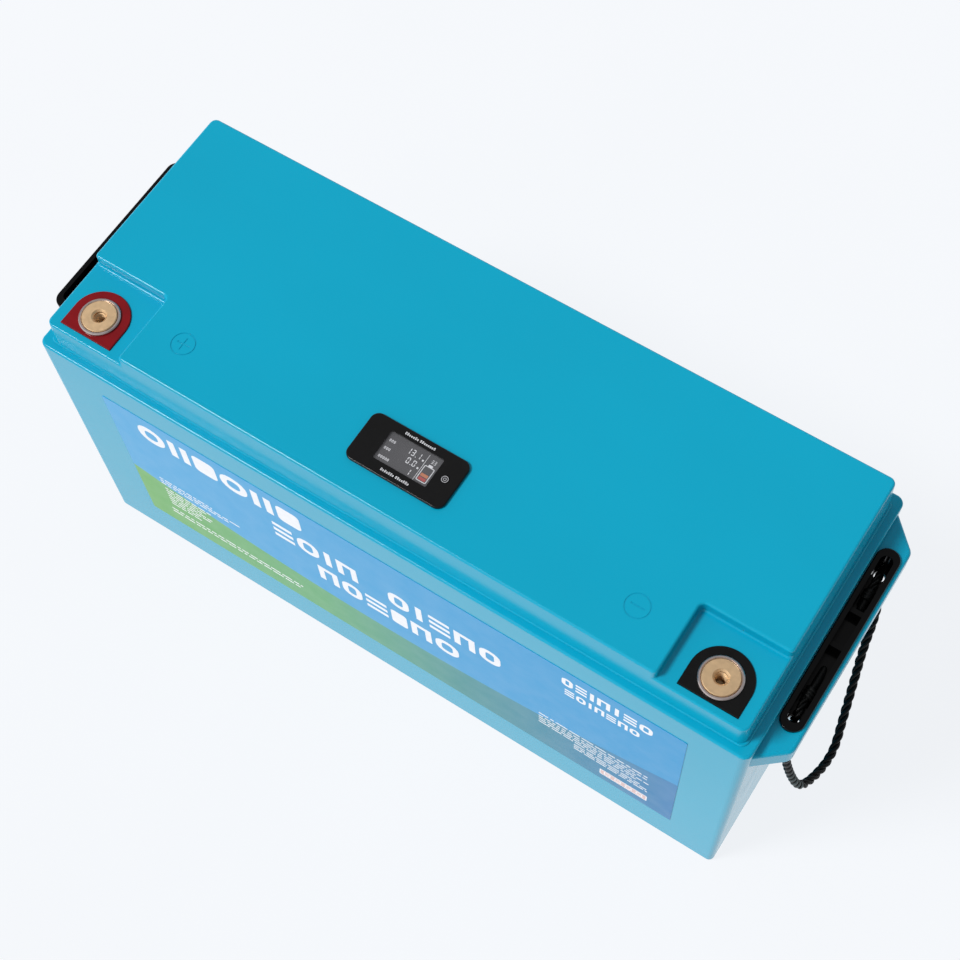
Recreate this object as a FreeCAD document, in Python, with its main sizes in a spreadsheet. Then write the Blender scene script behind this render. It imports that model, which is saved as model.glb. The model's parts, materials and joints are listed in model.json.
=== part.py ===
import FreeCAD, Part
import math
import os

import Sketcher

# A 12.8 V 200 Ah lithium iron phosphate deep cycle battery in a tall, narrow moulded case.
# Frame: X along the length (negative terminal at +X), Y to the back, Z up, origin at the
# middle of the underside. Millimetres.

OUT = "parts"
os.makedirs(OUT, exist_ok=True)
Vector = FreeCAD.Vector
Rotation = FreeCAD.Rotation
doc = FreeCAD.newDocument("deep_cycle_battery")
sheet = doc.addObject("Spreadsheet::Sheet", "dims")


class Size:
    """A length with its value and the spreadsheet expression that gives it."""

    def __init__(self, value, text):
        self.value = float(value)
        self.text = text

    def __add__(self, other):
        other = as_size(other)
        return Size(self.value + other.value, f"({self.text} + {other.text})")

    def __sub__(self, other):
        other = as_size(other)
        return Size(self.value - other.value, f"({self.text} - {other.text})")

    def __mul__(self, other):
        other = as_size(other)
        return Size(self.value * other.value, f"({self.text} * {other.text})")

    def __truediv__(self, other):
        other = as_size(other)
        return Size(self.value / other.value, f"({self.text} / {other.text})")

    def __neg__(self):
        return Size(-self.value, f"(-1 * {self.text})")

    def __radd__(self, other):
        return as_size(other) + self

    def __rsub__(self, other):
        return as_size(other) - self

    def __rmul__(self, other):
        return as_size(other) * self


def as_size(value):
    return value if isinstance(value, Size) else Size(value, repr(float(value)))


def dimension(alias, value):
    """Writes one driving dimension to the sheet and returns it."""
    row = dimension.row
    dimension.row += 1
    sheet.set(f"A{row}", alias)
    sheet.set(f"B{row}", str(value))
    sheet.setAlias(f"B{row}", alias)
    return Size(value, f"dims.{alias}")


dimension.row = 1

# Case
case_length = dimension("case_length", 454.0)
case_width = dimension("case_width", 170.0)
case_height = dimension("case_height", 211.6)
case_corner = dimension("case_corner", 5.2)
case_draft = dimension("case_draft", 0.45)
case_floor = dimension("case_floor", 4.0)
case_wall = dimension("case_wall", 6.3)
case_foot_radius = dimension("case_foot_radius", 2.0)
rim_width = dimension("rim_width", 5.0)
rim_depth = dimension("rim_depth", 7.0)
rim_edge_radius = dimension("rim_edge_radius", 1.5)
rebate_corner = dimension("rebate_corner", 4.4)
cavity_corner = dimension("cavity_corner", 3.0)
# Lugs on the end walls, which hold the rope trays
lug_reach = dimension("lug_reach", 243.0)
lug_top = dimension("lug_top", 204.0)
lug_depth = dimension("lug_depth", 16.0)
lug_root = dimension("lug_root", 224.0)
lug_root_half = dimension("lug_root_half", 82.0)
lug_tip_front = dimension("lug_tip_front", 66.0)
lug_tip_back = dimension("lug_tip_back", 62.8)
lug_tip_radius = dimension("lug_tip_radius", 6.0)
slim_lug_reach = dimension("slim_lug_reach", 241.2)
slim_lug_half = dimension("slim_lug_half", 57.0)
slim_lug_radius = dimension("slim_lug_radius", 5.0)
lug_edge_radius = dimension("lug_edge_radius", 2.0)
# Lid
seam = dimension("seam", 0.3)
seal_thickness = dimension("seal_thickness", 0.6)
seal_gap = dimension("seal_gap", 0.1)
bead_overlap = dimension("bead_overlap", 0.3)
bead_clearance = dimension("bead_clearance", 0.1)
bead_height = dimension("bead_height", 1.0)
bead_chamfer = dimension("bead_chamfer", 0.6)
plateau_length = dimension("plateau_length", 439.8)
plateau_width = dimension("plateau_width", 157.2)
plateau_top = dimension("plateau_top", 238.0)
plateau_corner = dimension("plateau_corner", 4.0)
plateau_edge = dimension("plateau_edge", 1.45)
lid_draft = dimension("lid_draft", 2.4)
lid_wall = dimension("lid_wall", 3.0)
lid_inner_corner = dimension("lid_inner_corner", 3.0)
recess_inner = dimension("recess_inner", 168.5)
recess_back = dimension("recess_back", 33.2)
recess_depth = dimension("recess_depth", 7.5)
recess_corner = dimension("recess_corner", 3.2)
recess_mouth_radius = dimension("recess_mouth_radius", 2.5)
recess_edge = dimension("recess_edge", 1.2)
mark_offset = dimension("mark_offset", 142.8)
mark_front = dimension("mark_front", 52.3)
mark_radius = dimension("mark_radius", 7.2)
mark_line = dimension("mark_line", 0.8)
mark_depth = dimension("mark_depth", 0.3)
mark_arm = dimension("mark_arm", 4.0)
# Printed film on the front wall
label_length = dimension("label_length", 383.0)
label_height = dimension("label_height", 150.0)
label_thickness = dimension("label_thickness", 0.35)
label_start = dimension("label_start", -188.5)
label_base = dimension("label_base", 36.5)
label_gap = dimension("label_gap", 0.02)
# Terminals, with heights above and below the recess floor
terminal_offset = dimension("terminal_offset", 195.8)
terminal_front = dimension("terminal_front", 61.0)
pad_radius = dimension("pad_radius", 17.2)
pad_front = dimension("pad_front", 74.5)
pad_inset = dimension("pad_inset", 0.6)
pad_proud = dimension("pad_proud", 1.0)
pad_gap = dimension("pad_gap", 0.15)
pad_chamfer = dimension("pad_chamfer", 0.35)
bore_gap = dimension("bore_gap", 0.1)
collar_radius = dimension("collar_radius", 11.8)
collar_rise = dimension("collar_rise", 2.5)
collar_edge = dimension("collar_edge", 0.5)
bushing_radius = dimension("bushing_radius", 9.9)
bushing_rise = dimension("bushing_rise", 2.8)
bushing_depth = dimension("bushing_depth", 16.0)
bushing_edge = dimension("bushing_edge", 0.4)
shank_radius = dimension("shank_radius", 7.0)
thread_radius = dimension("thread_radius", 3.4)
thread_depth = dimension("thread_depth", 13.0)
countersink_radius = dimension("countersink_radius", 4.5)
nut_flats = dimension("nut_flats", 22.0)
nut_height = dimension("nut_height", 4.0)
pole_washer = dimension("pole_washer", 1.0)
pole_washer_radius = dimension("pole_washer_radius", 11.0)
# Display
display_length = dimension("display_length", 61.4)
display_width = dimension("display_width", 31.4)
display_corner = dimension("display_corner", 5.0)
display_front = dimension("display_front", 46.4)
display_top = dimension("display_top", 240.0)
display_depth = dimension("display_depth", 11.0)
body_length = dimension("body_length", 56.6)
body_width = dimension("body_width", 27.4)
window_length = dimension("window_length", 33.2)
window_width = dimension("window_width", 18.4)
window_front = dimension("window_front", 45.7)
button_offset = dimension("button_offset", 22.8)
button_radius = dimension("button_radius", 2.4)
button_travel = dimension("button_travel", 0.4)
button_proud = dimension("button_proud", 0.15)
button_gap = dimension("button_gap", 0.15)
button_stem = dimension("button_stem", 1.3)
button_collar = dimension("button_collar", 0.6)
face_thickness = dimension("face_thickness", 1.5)
body_corner = dimension("body_corner", 3.0)
gasket_thickness = dimension("gasket_thickness", 0.4)
lcd_drop = dimension("lcd_drop", 4.0)
board_drop = dimension("board_drop", 6.5)
board_thickness = dimension("board_thickness", 1.6)
switch_height = dimension("switch_height", 1.4)
switch_side = dimension("switch_side", 4.4)
plunger_height = dimension("plunger_height", 1.8)
# Rope trays and rope
tray_offset = dimension("tray_offset", 234.2)
tray_rim_width = dimension("tray_rim_width", 13.4)
tray_rim_length = dimension("tray_rim_length", 116.2)
tray_rim_top = dimension("tray_rim_top", 206.2)
tray_body_width = dimension("tray_body_width", 8.8)
tray_body_length = dimension("tray_body_length", 108.0)
tray_edge = dimension("tray_edge", 0.7)
tray_bottom = dimension("tray_bottom", 189.5)
trough_width = dimension("trough_width", 7.2)
trough_length = dimension("trough_length", 106.4)
trough_floor = dimension("trough_floor", 192.0)
rope_hole_offset = dimension("rope_hole_offset", 47.0)
rope_hole_radius = dimension("rope_hole_radius", 3.1)
rope_diameter = dimension("rope_diameter", 5.0)
rope_pivot_height = dimension("rope_pivot_height", 184.4)
tail_diameter = dimension("tail_diameter", 4.4)
tail_crown = dimension("tail_crown", 6.4)
knot_radius = dimension("knot_radius", 3.35)
tail_tip_radius = dimension("tail_tip_radius", 2.1)
# Cells and power parts
cell_length = dimension("cell_length", 174.0)
cell_thickness = dimension("cell_thickness", 54.0)
cell_height = dimension("cell_height", 200.0)
cell_base = dimension("cell_base", 8.0)
cell_corner = dimension("cell_corner", 3.0)
cell_edge = dimension("cell_edge", 1.2)
cell_gap = dimension("cell_gap", 1.6)
row_gap = dimension("row_gap", 2.0)
pack_start = dimension("pack_start", -213.0)
post_offset = dimension("post_offset", 64.0)
post_radius = dimension("post_radius", 6.0)
post_height = dimension("post_height", 4.0)
busbar_width = dimension("busbar_width", 24.0)
busbar_thickness = dimension("busbar_thickness", 2.0)
board_position = dimension("board_position", 160.0)
board_width = dimension("board_width", 104.0)
board_height = dimension("board_height", 140.0)
board_base = dimension("board_base", 34.0)
power_cable_diameter = dimension("power_cable_diameter", 9.0)
signal_cable_diameter = dimension("signal_cable_diameter", 3.0)
doc.recompute()

plateau_half_length = plateau_length / 2
plateau_half_width = plateau_width / 2
skirt_length = case_length - 2 * (rim_width + seam)
skirt_width = case_width - 2 * (rim_width + seam)
rim_floor = case_height - rim_depth
lid_bottom = rim_floor + seal_thickness
recess_floor = plateau_top - recess_depth
pad_top = recess_floor + pad_proud
collar_top = recess_floor + collar_rise
bushing_top = recess_floor + bushing_rise
bushing_end = recess_floor - bushing_depth
thread_bottom = recess_floor - thread_depth
pole_plate = recess_floor - lid_wall - pole_washer - busbar_thickness
lug_bottom = lug_top - lug_depth
pieces = {}


# ---------------------------------------------------------------- drawing helpers


def keep(label, item):
    """Registers an object as a piece of the battery under its own name."""
    item.Label = label
    pieces[label] = item
    return item


def new_body(label):
    return keep(label, doc.addObject("PartDesign::Body", label))


def plane_of(body, role):
    return next(f for f in body.Origin.OriginFeatures if f.Role == role)


def new_sketch(body, height=0.0, role="XY_Plane"):
    """A sketch on one of the body's origin planes, moved along its normal by height."""
    height = as_size(height)
    sketch = body.newObject("Sketcher::SketchObject", "outline")
    sketch.AttachmentSupport = [(plane_of(body, role), "")]
    sketch.MapMode = "FlatFace"
    sketch.AttachmentOffset = FreeCAD.Placement(Vector(0, 0, height.value), Rotation())
    sketch.setExpression("AttachmentOffset.Base.z", height.text)
    return sketch


def hold(sketch, kind, where, size):
    """Adds one dimension to a sketch and binds it to the sheet."""
    index = sketch.addConstraint(Sketcher.Constraint(kind, *where, size.value))
    sketch.setExpression(f"Constraints[{index}]", size.text)


def hold_point(sketch, geometry, end, x, y):
    hold(sketch, "DistanceX", (-1, 1, geometry, end), as_size(x))
    hold(sketch, "DistanceY", (-1, 1, geometry, end), as_size(y))


def draw_polygon(sketch, corners):
    """A closed outline of straight lines through corners given as pairs of sizes."""
    corners = [(as_size(x), as_size(y)) for x, y in corners]
    first = sketch.GeometryCount
    count = len(corners)
    points = [Vector(x.value, y.value, 0) for x, y in corners]
    for i in range(count):
        sketch.addGeometry(Part.LineSegment(points[i], points[(i + 1) % count]))
    for i in range(count):
        after = first + (i + 1) % count
        sketch.addConstraint(Sketcher.Constraint("Coincident", first + i, 2, after, 1))
    for i, (x, y) in enumerate(corners):
        hold_point(sketch, first + i, 1, x, y)


def draw_circle(sketch, x, y, radius):
    x, y, radius = as_size(x), as_size(y), as_size(radius)
    centre = Vector(x.value, y.value, 0)
    index = sketch.addGeometry(Part.Circle(centre, Vector(0, 0, 1), radius.value))
    hold_point(sketch, index, 3, x, y)
    hold(sketch, "Radius", (index,), radius)


def draw_arc(x, y, radius, start, end):
    circle = Part.Circle(Vector(x, y, 0), Vector(0, 0, 1), radius)
    return Part.ArcOfCircle(circle, math.radians(start), math.radians(end))


def draw_rounded(sketch, x, y, length, width, radius):
    """A rectangle centred on (x, y) with four equal rounded corners."""
    x, y, length, width, radius = [as_size(v) for v in (x, y, length, width, radius)]
    reach_x = length / 2 - radius
    reach_y = width / 2 - radius
    r = radius.value
    centres = [
        (x - reach_x, y - reach_y),
        (x + reach_x, y - reach_y),
        (x + reach_x, y + reach_y),
        (x - reach_x, y + reach_y),
    ]
    first = sketch.GeometryCount
    for i, (cx, cy) in enumerate(centres):
        start = 180 + 90 * i
        sketch.addGeometry(draw_arc(cx.value, cy.value, r, start, start + 90))
        nx, ny = centres[(i + 1) % 4]
        out = Vector(math.cos(math.radians(start + 90)), math.sin(math.radians(start + 90)), 0)
        begin = Vector(cx.value, cy.value, 0) + out * r
        finish = Vector(nx.value, ny.value, 0) + out * r
        sketch.addGeometry(Part.LineSegment(begin, finish))
    for i in range(4):
        arc = first + 2 * i
        line = arc + 1
        after = first + (2 * i + 2) % 8
        sketch.addConstraint(Sketcher.Constraint("Tangent", arc, 2, line, 1))
        sketch.addConstraint(Sketcher.Constraint("Tangent", line, 2, after, 1))
    for i, (cx, cy) in enumerate(centres):
        hold_point(sketch, first + 2 * i, 3, cx, cy)
    for i in range(1, 4):
        sketch.addConstraint(Sketcher.Constraint("Equal", first, first + 2 * i))
    hold(sketch, "Radius", (first,), radius)


def draw_slot(sketch, x, y, length, width):
    """A slot with half-round ends that runs along Y, centred on (x, y)."""
    x, y, length, width = [as_size(v) for v in (x, y, length, width)]
    r = width.value / 2
    reach = length / 2 - width / 2
    top = Vector(x.value, y.value + reach.value, 0)
    bottom = Vector(x.value, y.value - reach.value, 0)
    side = Vector(r, 0, 0)
    first = sketch.GeometryCount
    sketch.addGeometry(draw_arc(top.x, top.y, r, 0, 180))
    sketch.addGeometry(Part.LineSegment(top - side, bottom - side))
    sketch.addGeometry(draw_arc(bottom.x, bottom.y, r, 180, 360))
    sketch.addGeometry(Part.LineSegment(bottom + side, top + side))
    for i in range(4):
        after = first + (i + 1) % 4
        sketch.addConstraint(Sketcher.Constraint("Tangent", first + i, 2, after, 1))
    hold_point(sketch, first, 3, x, y + reach)
    hold_point(sketch, first + 2, 3, x, y - reach)
    hold(sketch, "Radius", (first,), width / 2)


def draw_tombstone(sketch, x, y, radius, front):
    """A half circle round (x, y) whose sides run straight down to y = -front."""
    x, y, radius, front = [as_size(v) for v in (x, y, radius, front)]
    r = radius.value
    left = Vector(x.value - r, y.value, 0)
    right = Vector(x.value + r, y.value, 0)
    low_left = Vector(left.x, -front.value, 0)
    low_right = Vector(right.x, -front.value, 0)
    first = sketch.GeometryCount
    sketch.addGeometry(draw_arc(x.value, y.value, r, 0, 180))
    sketch.addGeometry(Part.LineSegment(left, low_left))
    sketch.addGeometry(Part.LineSegment(low_left, low_right))
    sketch.addGeometry(Part.LineSegment(low_right, right))
    for i, kind in enumerate(("Tangent", "Coincident", "Coincident", "Tangent")):
        after = first + (i + 1) % 4
        sketch.addConstraint(Sketcher.Constraint(kind, first + i, 2, after, 1))
    hold_point(sketch, first, 3, x, y)
    hold(sketch, "Radius", (first,), radius)
    hold_point(sketch, first + 1, 2, x - radius, -front)
    hold_point(sketch, first + 2, 2, x + radius, -front)


def grow(body, kind, sketch, length, downward, draft):
    """A Pad or Pocket of a sketch, with its length and draft bound to the sheet."""
    length = as_size(length)
    feature = body.newObject(f"PartDesign::{kind}", kind.lower())
    feature.Profile = sketch
    feature.Length = length.value
    feature.setExpression("Length", length.text)
    feature.Reversed = downward if kind == "Pad" else not downward
    if draft is not None:
        draft = as_size(draft)
        feature.TaperAngle = draft.value
        feature.setExpression("TaperAngle", draft.text)
    body.Tip = feature
    doc.recompute()
    return feature


def pad(body, sketch, length, downward=False, draft=None):
    return grow(body, "Pad", sketch, length, downward, draft)


def pocket(body, sketch, length, downward=True, draft=None):
    """Cuts a sketch into the body and checks that material really came away."""
    before = body.Tip.Shape.Volume
    feature = grow(body, "Pocket", sketch, length, downward, draft)
    if feature.Shape.Volume > before - 1e-3:
        raise ValueError(f"a pocket in {body.Label} cut nothing")
    return feature


def dress(body, kind, radius, chosen):
    """Rounds (Fillet) or bevels (Chamfer) every edge that the test picks."""
    base = body.Tip
    radius = as_size(radius)
    edges = base.Shape.Edges
    names = [f"Edge{i + 1}" for i, edge in enumerate(edges) if chosen(edge)]
    if not names:
        raise ValueError(f"no edge to dress in {body.Label}")
    feature = body.newObject(f"PartDesign::{kind}", kind.lower())
    feature.Base = (base, names)
    size_name = "Radius" if kind == "Fillet" else "Size"
    setattr(feature, size_name, radius.value)
    feature.setExpression(size_name, radius.text)
    body.Tip = feature
    doc.recompute()
    return feature


def level_edge(height, tolerance=0.01):
    """A test for edges that lie flat at one height."""
    level = as_size(height).value

    def test(edge):
        box = edge.BoundBox
        return abs(box.ZMin - level) < tolerance and abs(box.ZMax - level) < tolerance

    return test


def upright_edge(places, tolerance=0.6):
    """A test for upright edges that stand over given (x, y) places."""

    def test(edge):
        box = edge.BoundBox
        if box.ZLength < 1 or box.XLength > tolerance or box.YLength > tolerance:
            return False
        return any(math.hypot(box.Center.x - x, box.Center.y - y) < tolerance for x, y in places)

    return test


def turned(label, profile, x=0.0, y=0.0):
    """A body of revolution about an upright axis over (x, y), from (radius, height) corners."""
    body = new_body(label)
    sketch = new_sketch(body, role="XZ_Plane")
    draw_polygon(sketch, profile)
    feature = body.newObject("PartDesign::Revolution", "revolution")
    feature.Profile = sketch
    feature.ReferenceAxis = (sketch, ["V_Axis"])
    feature.Angle = 360
    body.Tip = feature
    place(body, x, y, 0)
    doc.recompute()
    return body


def place(item, x, y, z, rotation=None):
    """Gives an object its place, bound to the sheet."""
    item.Placement = FreeCAD.Placement(Vector(0, 0, 0), rotation or Rotation())
    for axis, value in zip("xyz", (x, y, z)):
        item.setExpression(f"Placement.Base.{axis}", as_size(value).text)


def block(label, x, y, z, length, width, height):
    """A plain box centred over (x, y) that stands on height z."""
    item = doc.addObject("Part::Box", label)
    for name, value in (("Length", length), ("Width", width), ("Height", height)):
        item.setExpression(name, as_size(value).text)
    length, width = as_size(length), as_size(width)
    place(item, as_size(x) - length / 2, as_size(y) - width / 2, z)
    return item


def rod(label, x, y, z, radius, height, rotation=None):
    item = doc.addObject("Part::Cylinder", label)
    item.setExpression("Radius", as_size(radius).text)
    item.setExpression("Height", as_size(height).text)
    place(item, x, y, z, rotation)
    return item


def group(label, items):
    """Several separate solids that share one node."""
    item = doc.addObject("Part::Compound", label)
    item.Links = items
    return keep(label, item)


def plate(label, x, y, z, length, width, height, radius, hole=None):
    """A flat rounded plate, with an optional rounded hole (length, width, radius)."""
    body = new_body(label)
    sketch = new_sketch(body, z)
    draw_rounded(sketch, x, y, length, width, radius)
    if hole:
        draw_rounded(sketch, x, y, *hole)
    pad(body, sketch, height)
    return body


def rounded_route(points):
    """Straight runs joined by tangent arcs, and the smallest arc radius."""
    points = [Vector(*p) for p in points]
    edges = []
    radii = []
    start = points[0]
    for before, corner, after in zip(points, points[1:], points[2:]):
        back = (before - corner).normalize()
        ahead = (after - corner).normalize()
        half_turn = (math.pi - back.getAngle(ahead)) / 2
        reach = 0.45 * min((before - corner).Length, (after - corner).Length)
        radius = reach / math.tan(half_turn)
        entry = corner + back * reach
        leave = corner + ahead * reach
        bisector = (back + ahead).normalize()
        middle = corner + bisector * (radius / math.cos(half_turn) - radius)
        edges.append(Part.LineSegment(start, entry).toShape())
        edges.append(Part.Arc(entry, middle, leave).toShape())
        radii.append(radius)
        start = leave
    edges.append(Part.LineSegment(start, points[-1]).toShape())
    return Part.Wire(edges), radii


def tube_shape(points, diameter):
    """A solid round tube along a rounded route, with its volume checked."""
    wire, radii = rounded_route(points)
    start = Vector(*points[0])
    direction = (Vector(*points[1]) - start).normalize()
    ring = Part.Wire([Part.Circle(start, direction, diameter / 2).toShape()])
    shape = wire.makePipeShell([ring], True, False)
    expected = math.pi * diameter ** 2 / 4 * wire.Length
    if abs(shape.Volume / expected - 1) > 0.02:
        raise ValueError("a tube's volume does not match its length")
    rounded = ", ".join(f"{r:.0f}" for r in radii)
    print(f"tube of {wire.Length:.0f} mm, diameter {diameter:.1f}, arc radii {rounded}")
    return shape


def shaped(label, shape):
    item = doc.addObject("Part::Feature", label)
    item.Shape = shape
    item.Placement = FreeCAD.Placement()
    return keep(label, item)


# ---------------------------------------------------------------- case and lid


def make_case():
    body = new_body("case")
    rim = new_sketch(body, case_height)
    draw_rounded(rim, 0, 0, case_length, case_width, case_corner)
    pad(body, rim, case_height, downward=True, draft=-case_draft)
    dress(body, "Fillet", case_foot_radius, level_edge(0.0))
    dress(body, "Fillet", rim_edge_radius, level_edge(case_height))

    for side, corners in ((1, trapezium_lug()), (-1, slim_lug())):
        lug = new_sketch(body, lug_bottom)
        draw_polygon(lug, [(side * x, side * y) for x, y in corners])
        pad(body, lug, lug_depth)
    tips = [(lug_reach.value, -lug_tip_front.value), (lug_reach.value, lug_tip_back.value)]
    dress(body, "Fillet", lug_tip_radius, upright_edge(tips))
    slim = [(-slim_lug_reach.value, s * slim_lug_half.value) for s in (-1, 1)]
    dress(body, "Fillet", slim_lug_radius, upright_edge(slim))
    dress(body, "Fillet", lug_edge_radius, outer_lug_edge)

    rebate = new_sketch(body, case_height)
    opening_length = case_length - 2 * rim_width
    opening_width = case_width - 2 * rim_width
    draw_rounded(rebate, 0, 0, opening_length, opening_width, rebate_corner)
    pocket(body, rebate, rim_depth)
    cavity = new_sketch(body, rim_floor)
    inside_length = case_length - 2 * case_wall
    inside_width = case_width - 2 * case_wall
    draw_rounded(cavity, 0, 0, inside_length, inside_width, cavity_corner)
    pocket(body, cavity, rim_floor - case_floor, draft=-case_draft)
    for side in (1, -1):
        slot = new_sketch(body, lug_top + 1)
        width = tray_body_width + 2 * seam
        draw_slot(slot, side * tray_offset, 0, tray_body_length + 2 * seam, width)
        pocket(body, slot, lug_depth + 2)


def trapezium_lug():
    """Outline of the broad lug, from inside the case wall out to its tip and back."""
    return [
        (lug_root, -lug_root_half),
        (lug_reach, -lug_tip_front),
        (lug_reach, lug_tip_back),
        (lug_root, lug_root_half),
    ]


def slim_lug():
    """The narrow lug stays within the rim of its tray."""
    return [
        (lug_root, -slim_lug_half),
        (slim_lug_reach, -slim_lug_half),
        (slim_lug_reach, slim_lug_half),
        (lug_root, slim_lug_half),
    ]


def outer_lug_edge(edge):
    """The edges round the outside of both lugs, top and bottom."""
    box = edge.BoundBox
    flat = box.ZLength < 0.01
    level = min(abs(box.ZMin - lug_top.value), abs(box.ZMin - lug_bottom.value)) < 0.01
    outside = abs(box.Center.x) > case_length.value / 2 + 0.4
    return flat and level and outside


def make_lid():
    """A skirt inside the case rim, a thin bead on the rim, and a wall that leans inward."""
    body = new_body("lid")
    skirt = new_sketch(body, lid_bottom)
    bead_bottom = case_height + bead_clearance
    bead_top = bead_bottom + bead_height
    draw_rounded(skirt, 0, 0, skirt_length, skirt_width, rebate_corner - seam)
    pad(body, skirt, bead_top - lid_bottom)
    bead = new_sketch(body, bead_bottom)
    spread = 2 * (seam + bead_overlap)
    bead_corner = rebate_corner + bead_overlap
    draw_rounded(bead, 0, 0, skirt_length + spread, skirt_width + spread, bead_corner)
    pad(body, bead, bead_height)
    dress(body, "Chamfer", bead_chamfer, level_edge(bead_top))
    top = new_sketch(body, plateau_top)
    draw_rounded(top, 0, 0, plateau_length, plateau_width, plateau_corner)
    pad(body, top, plateau_top - bead_bottom, downward=True, draft=lid_draft)

    over = 20.0
    for side in (1, -1):
        recess = new_sketch(body, plateau_top)
        length = plateau_half_length + over - recess_inner
        width = plateau_half_width + over - recess_back
        x = side * (recess_inner + length / 2)
        draw_rounded(recess, x, -recess_back - width / 2, length, width, recess_corner)
        pocket(body, recess, recess_depth)
    mouths = []
    for side in (1, -1):
        mouths.append((side * recess_inner.value, -plateau_half_width.value))
        mouths.append((side * plateau_half_length.value, -recess_back.value))
    dress(body, "Fillet", recess_mouth_radius, upright_edge(mouths))
    dress(body, "Fillet", plateau_edge, level_edge(plateau_top))
    dress(body, "Fillet", recess_edge, recess_floor_rim)

    cut_lid_inside(body)
    cut_terminal_seats(body)
    aperture = new_sketch(body, plateau_top)
    gap = 2 * seam
    draw_rounded(aperture, 0, -display_front, body_length + gap, body_width + gap, 3.0)
    pocket(body, aperture, lid_wall + 1)
    cut_polarity_marks(body)


def recess_floor_rim(edge):
    """Outer edges of the two terminal recess floors."""
    box = edge.BoundBox
    flat = abs(box.ZMin - recess_floor.value) < 0.01 and box.ZLength < 0.01
    front = abs(box.Center.y + plateau_half_width.value) < 3
    end = abs(abs(box.Center.x) - plateau_half_length.value) < 3 and box.Center.y < 0
    return flat and (front or end)


def cut_lid_inside(body):
    """Hollows the lid: skirt, then the wall, then the roof between the recesses."""
    wall = 2 * lid_wall
    skirt = new_sketch(body, lid_bottom)
    draw_rounded(skirt, 0, 0, skirt_length - wall, skirt_width - wall, lid_inner_corner)
    pocket(body, skirt, case_height - lid_bottom, downward=False)
    wall_top = recess_floor - lid_wall
    middle = new_sketch(body, lid_bottom)
    draw_rounded(middle, 0, 0, plateau_length - wall, plateau_width - wall, lid_inner_corner)
    pocket(body, middle, wall_top - lid_bottom, downward=False)
    roof = new_sketch(body, wall_top - 0.5)
    end = plateau_half_length - lid_wall
    back = plateau_half_width - lid_wall
    inner = recess_inner - lid_wall
    step = recess_back - lid_wall
    draw_polygon(
        roof,
        [
            (-end, back),
            (-end, -step),
            (-inner, -step),
            (-inner, -back),
            (inner, -back),
            (inner, -step),
            (end, -step),
            (end, back),
        ],
    )
    pocket(body, roof, plateau_top - lid_wall - wall_top + 0.5, downward=False)


def cut_terminal_seats(body):
    for side in (1, -1):
        x = side * terminal_offset
        seat = new_sketch(body, recess_floor)
        draw_tombstone(seat, x, -terminal_front, pad_radius + pad_gap, pad_front + pad_gap)
        pocket(body, seat, pad_inset)
        hole = new_sketch(body, recess_floor)
        draw_circle(hole, x, -terminal_front, shank_radius + 2 * bore_gap)
        pocket(body, hole, lid_wall + 1)


def cut_polarity_marks(body):
    """Engraved rings on the roof: a plus at the -X end and a minus at the +X end."""
    half = mark_line / 2
    arm = mark_arm
    bar = [(-arm, -half), (arm, -half), (arm, half), (-arm, half)]
    cross = [
        (-arm, -half), (-half, -half), (-half, -arm), (half, -arm), (half, -half), (arm, -half),
        (arm, half), (half, half), (half, arm), (-half, arm), (-half, half), (-arm, half),
    ]
    for side, figure in ((-1, cross), (1, bar)):
        x = side * mark_offset
        mark = new_sketch(body, plateau_top)
        draw_circle(mark, x, -mark_front, mark_radius)
        draw_circle(mark, x, -mark_front, mark_radius - mark_line)
        draw_polygon(mark, [(x + px, py - mark_front) for px, py in figure])
        pocket(body, mark, mark_depth)


def make_seal():
    outer_length = case_length - 2 * (rim_width + seal_gap)
    outer_width = case_width - 2 * (rim_width + seal_gap)
    hole = (case_length - 2 * case_wall, case_width - 2 * case_wall, cavity_corner)
    size = (outer_length, outer_width, seal_thickness, rebate_corner - seal_gap)
    plate("lid_seal", 0, 0, rim_floor, *size, hole)


def make_label():
    """The printed film on the front wall, which leans with the wall's draft."""
    item = doc.addObject("Part::Box", "front_label")
    sizes = (("Length", label_length), ("Width", label_thickness), ("Height", label_height))
    for name, size in sizes:
        item.setExpression(name, size.text)
    slope = Size(math.tan(math.radians(case_draft.value)), "tan(dims.case_draft * 1deg)")
    wall = case_width / 2 - (case_height - label_base) * slope
    tilt = Rotation(Vector(1, 0, 0), case_draft.value)
    place(item, label_start, -wall - label_thickness - label_gap, label_base, tilt)
    keep("front_label", item)


# ---------------------------------------------------------------- terminals


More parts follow.
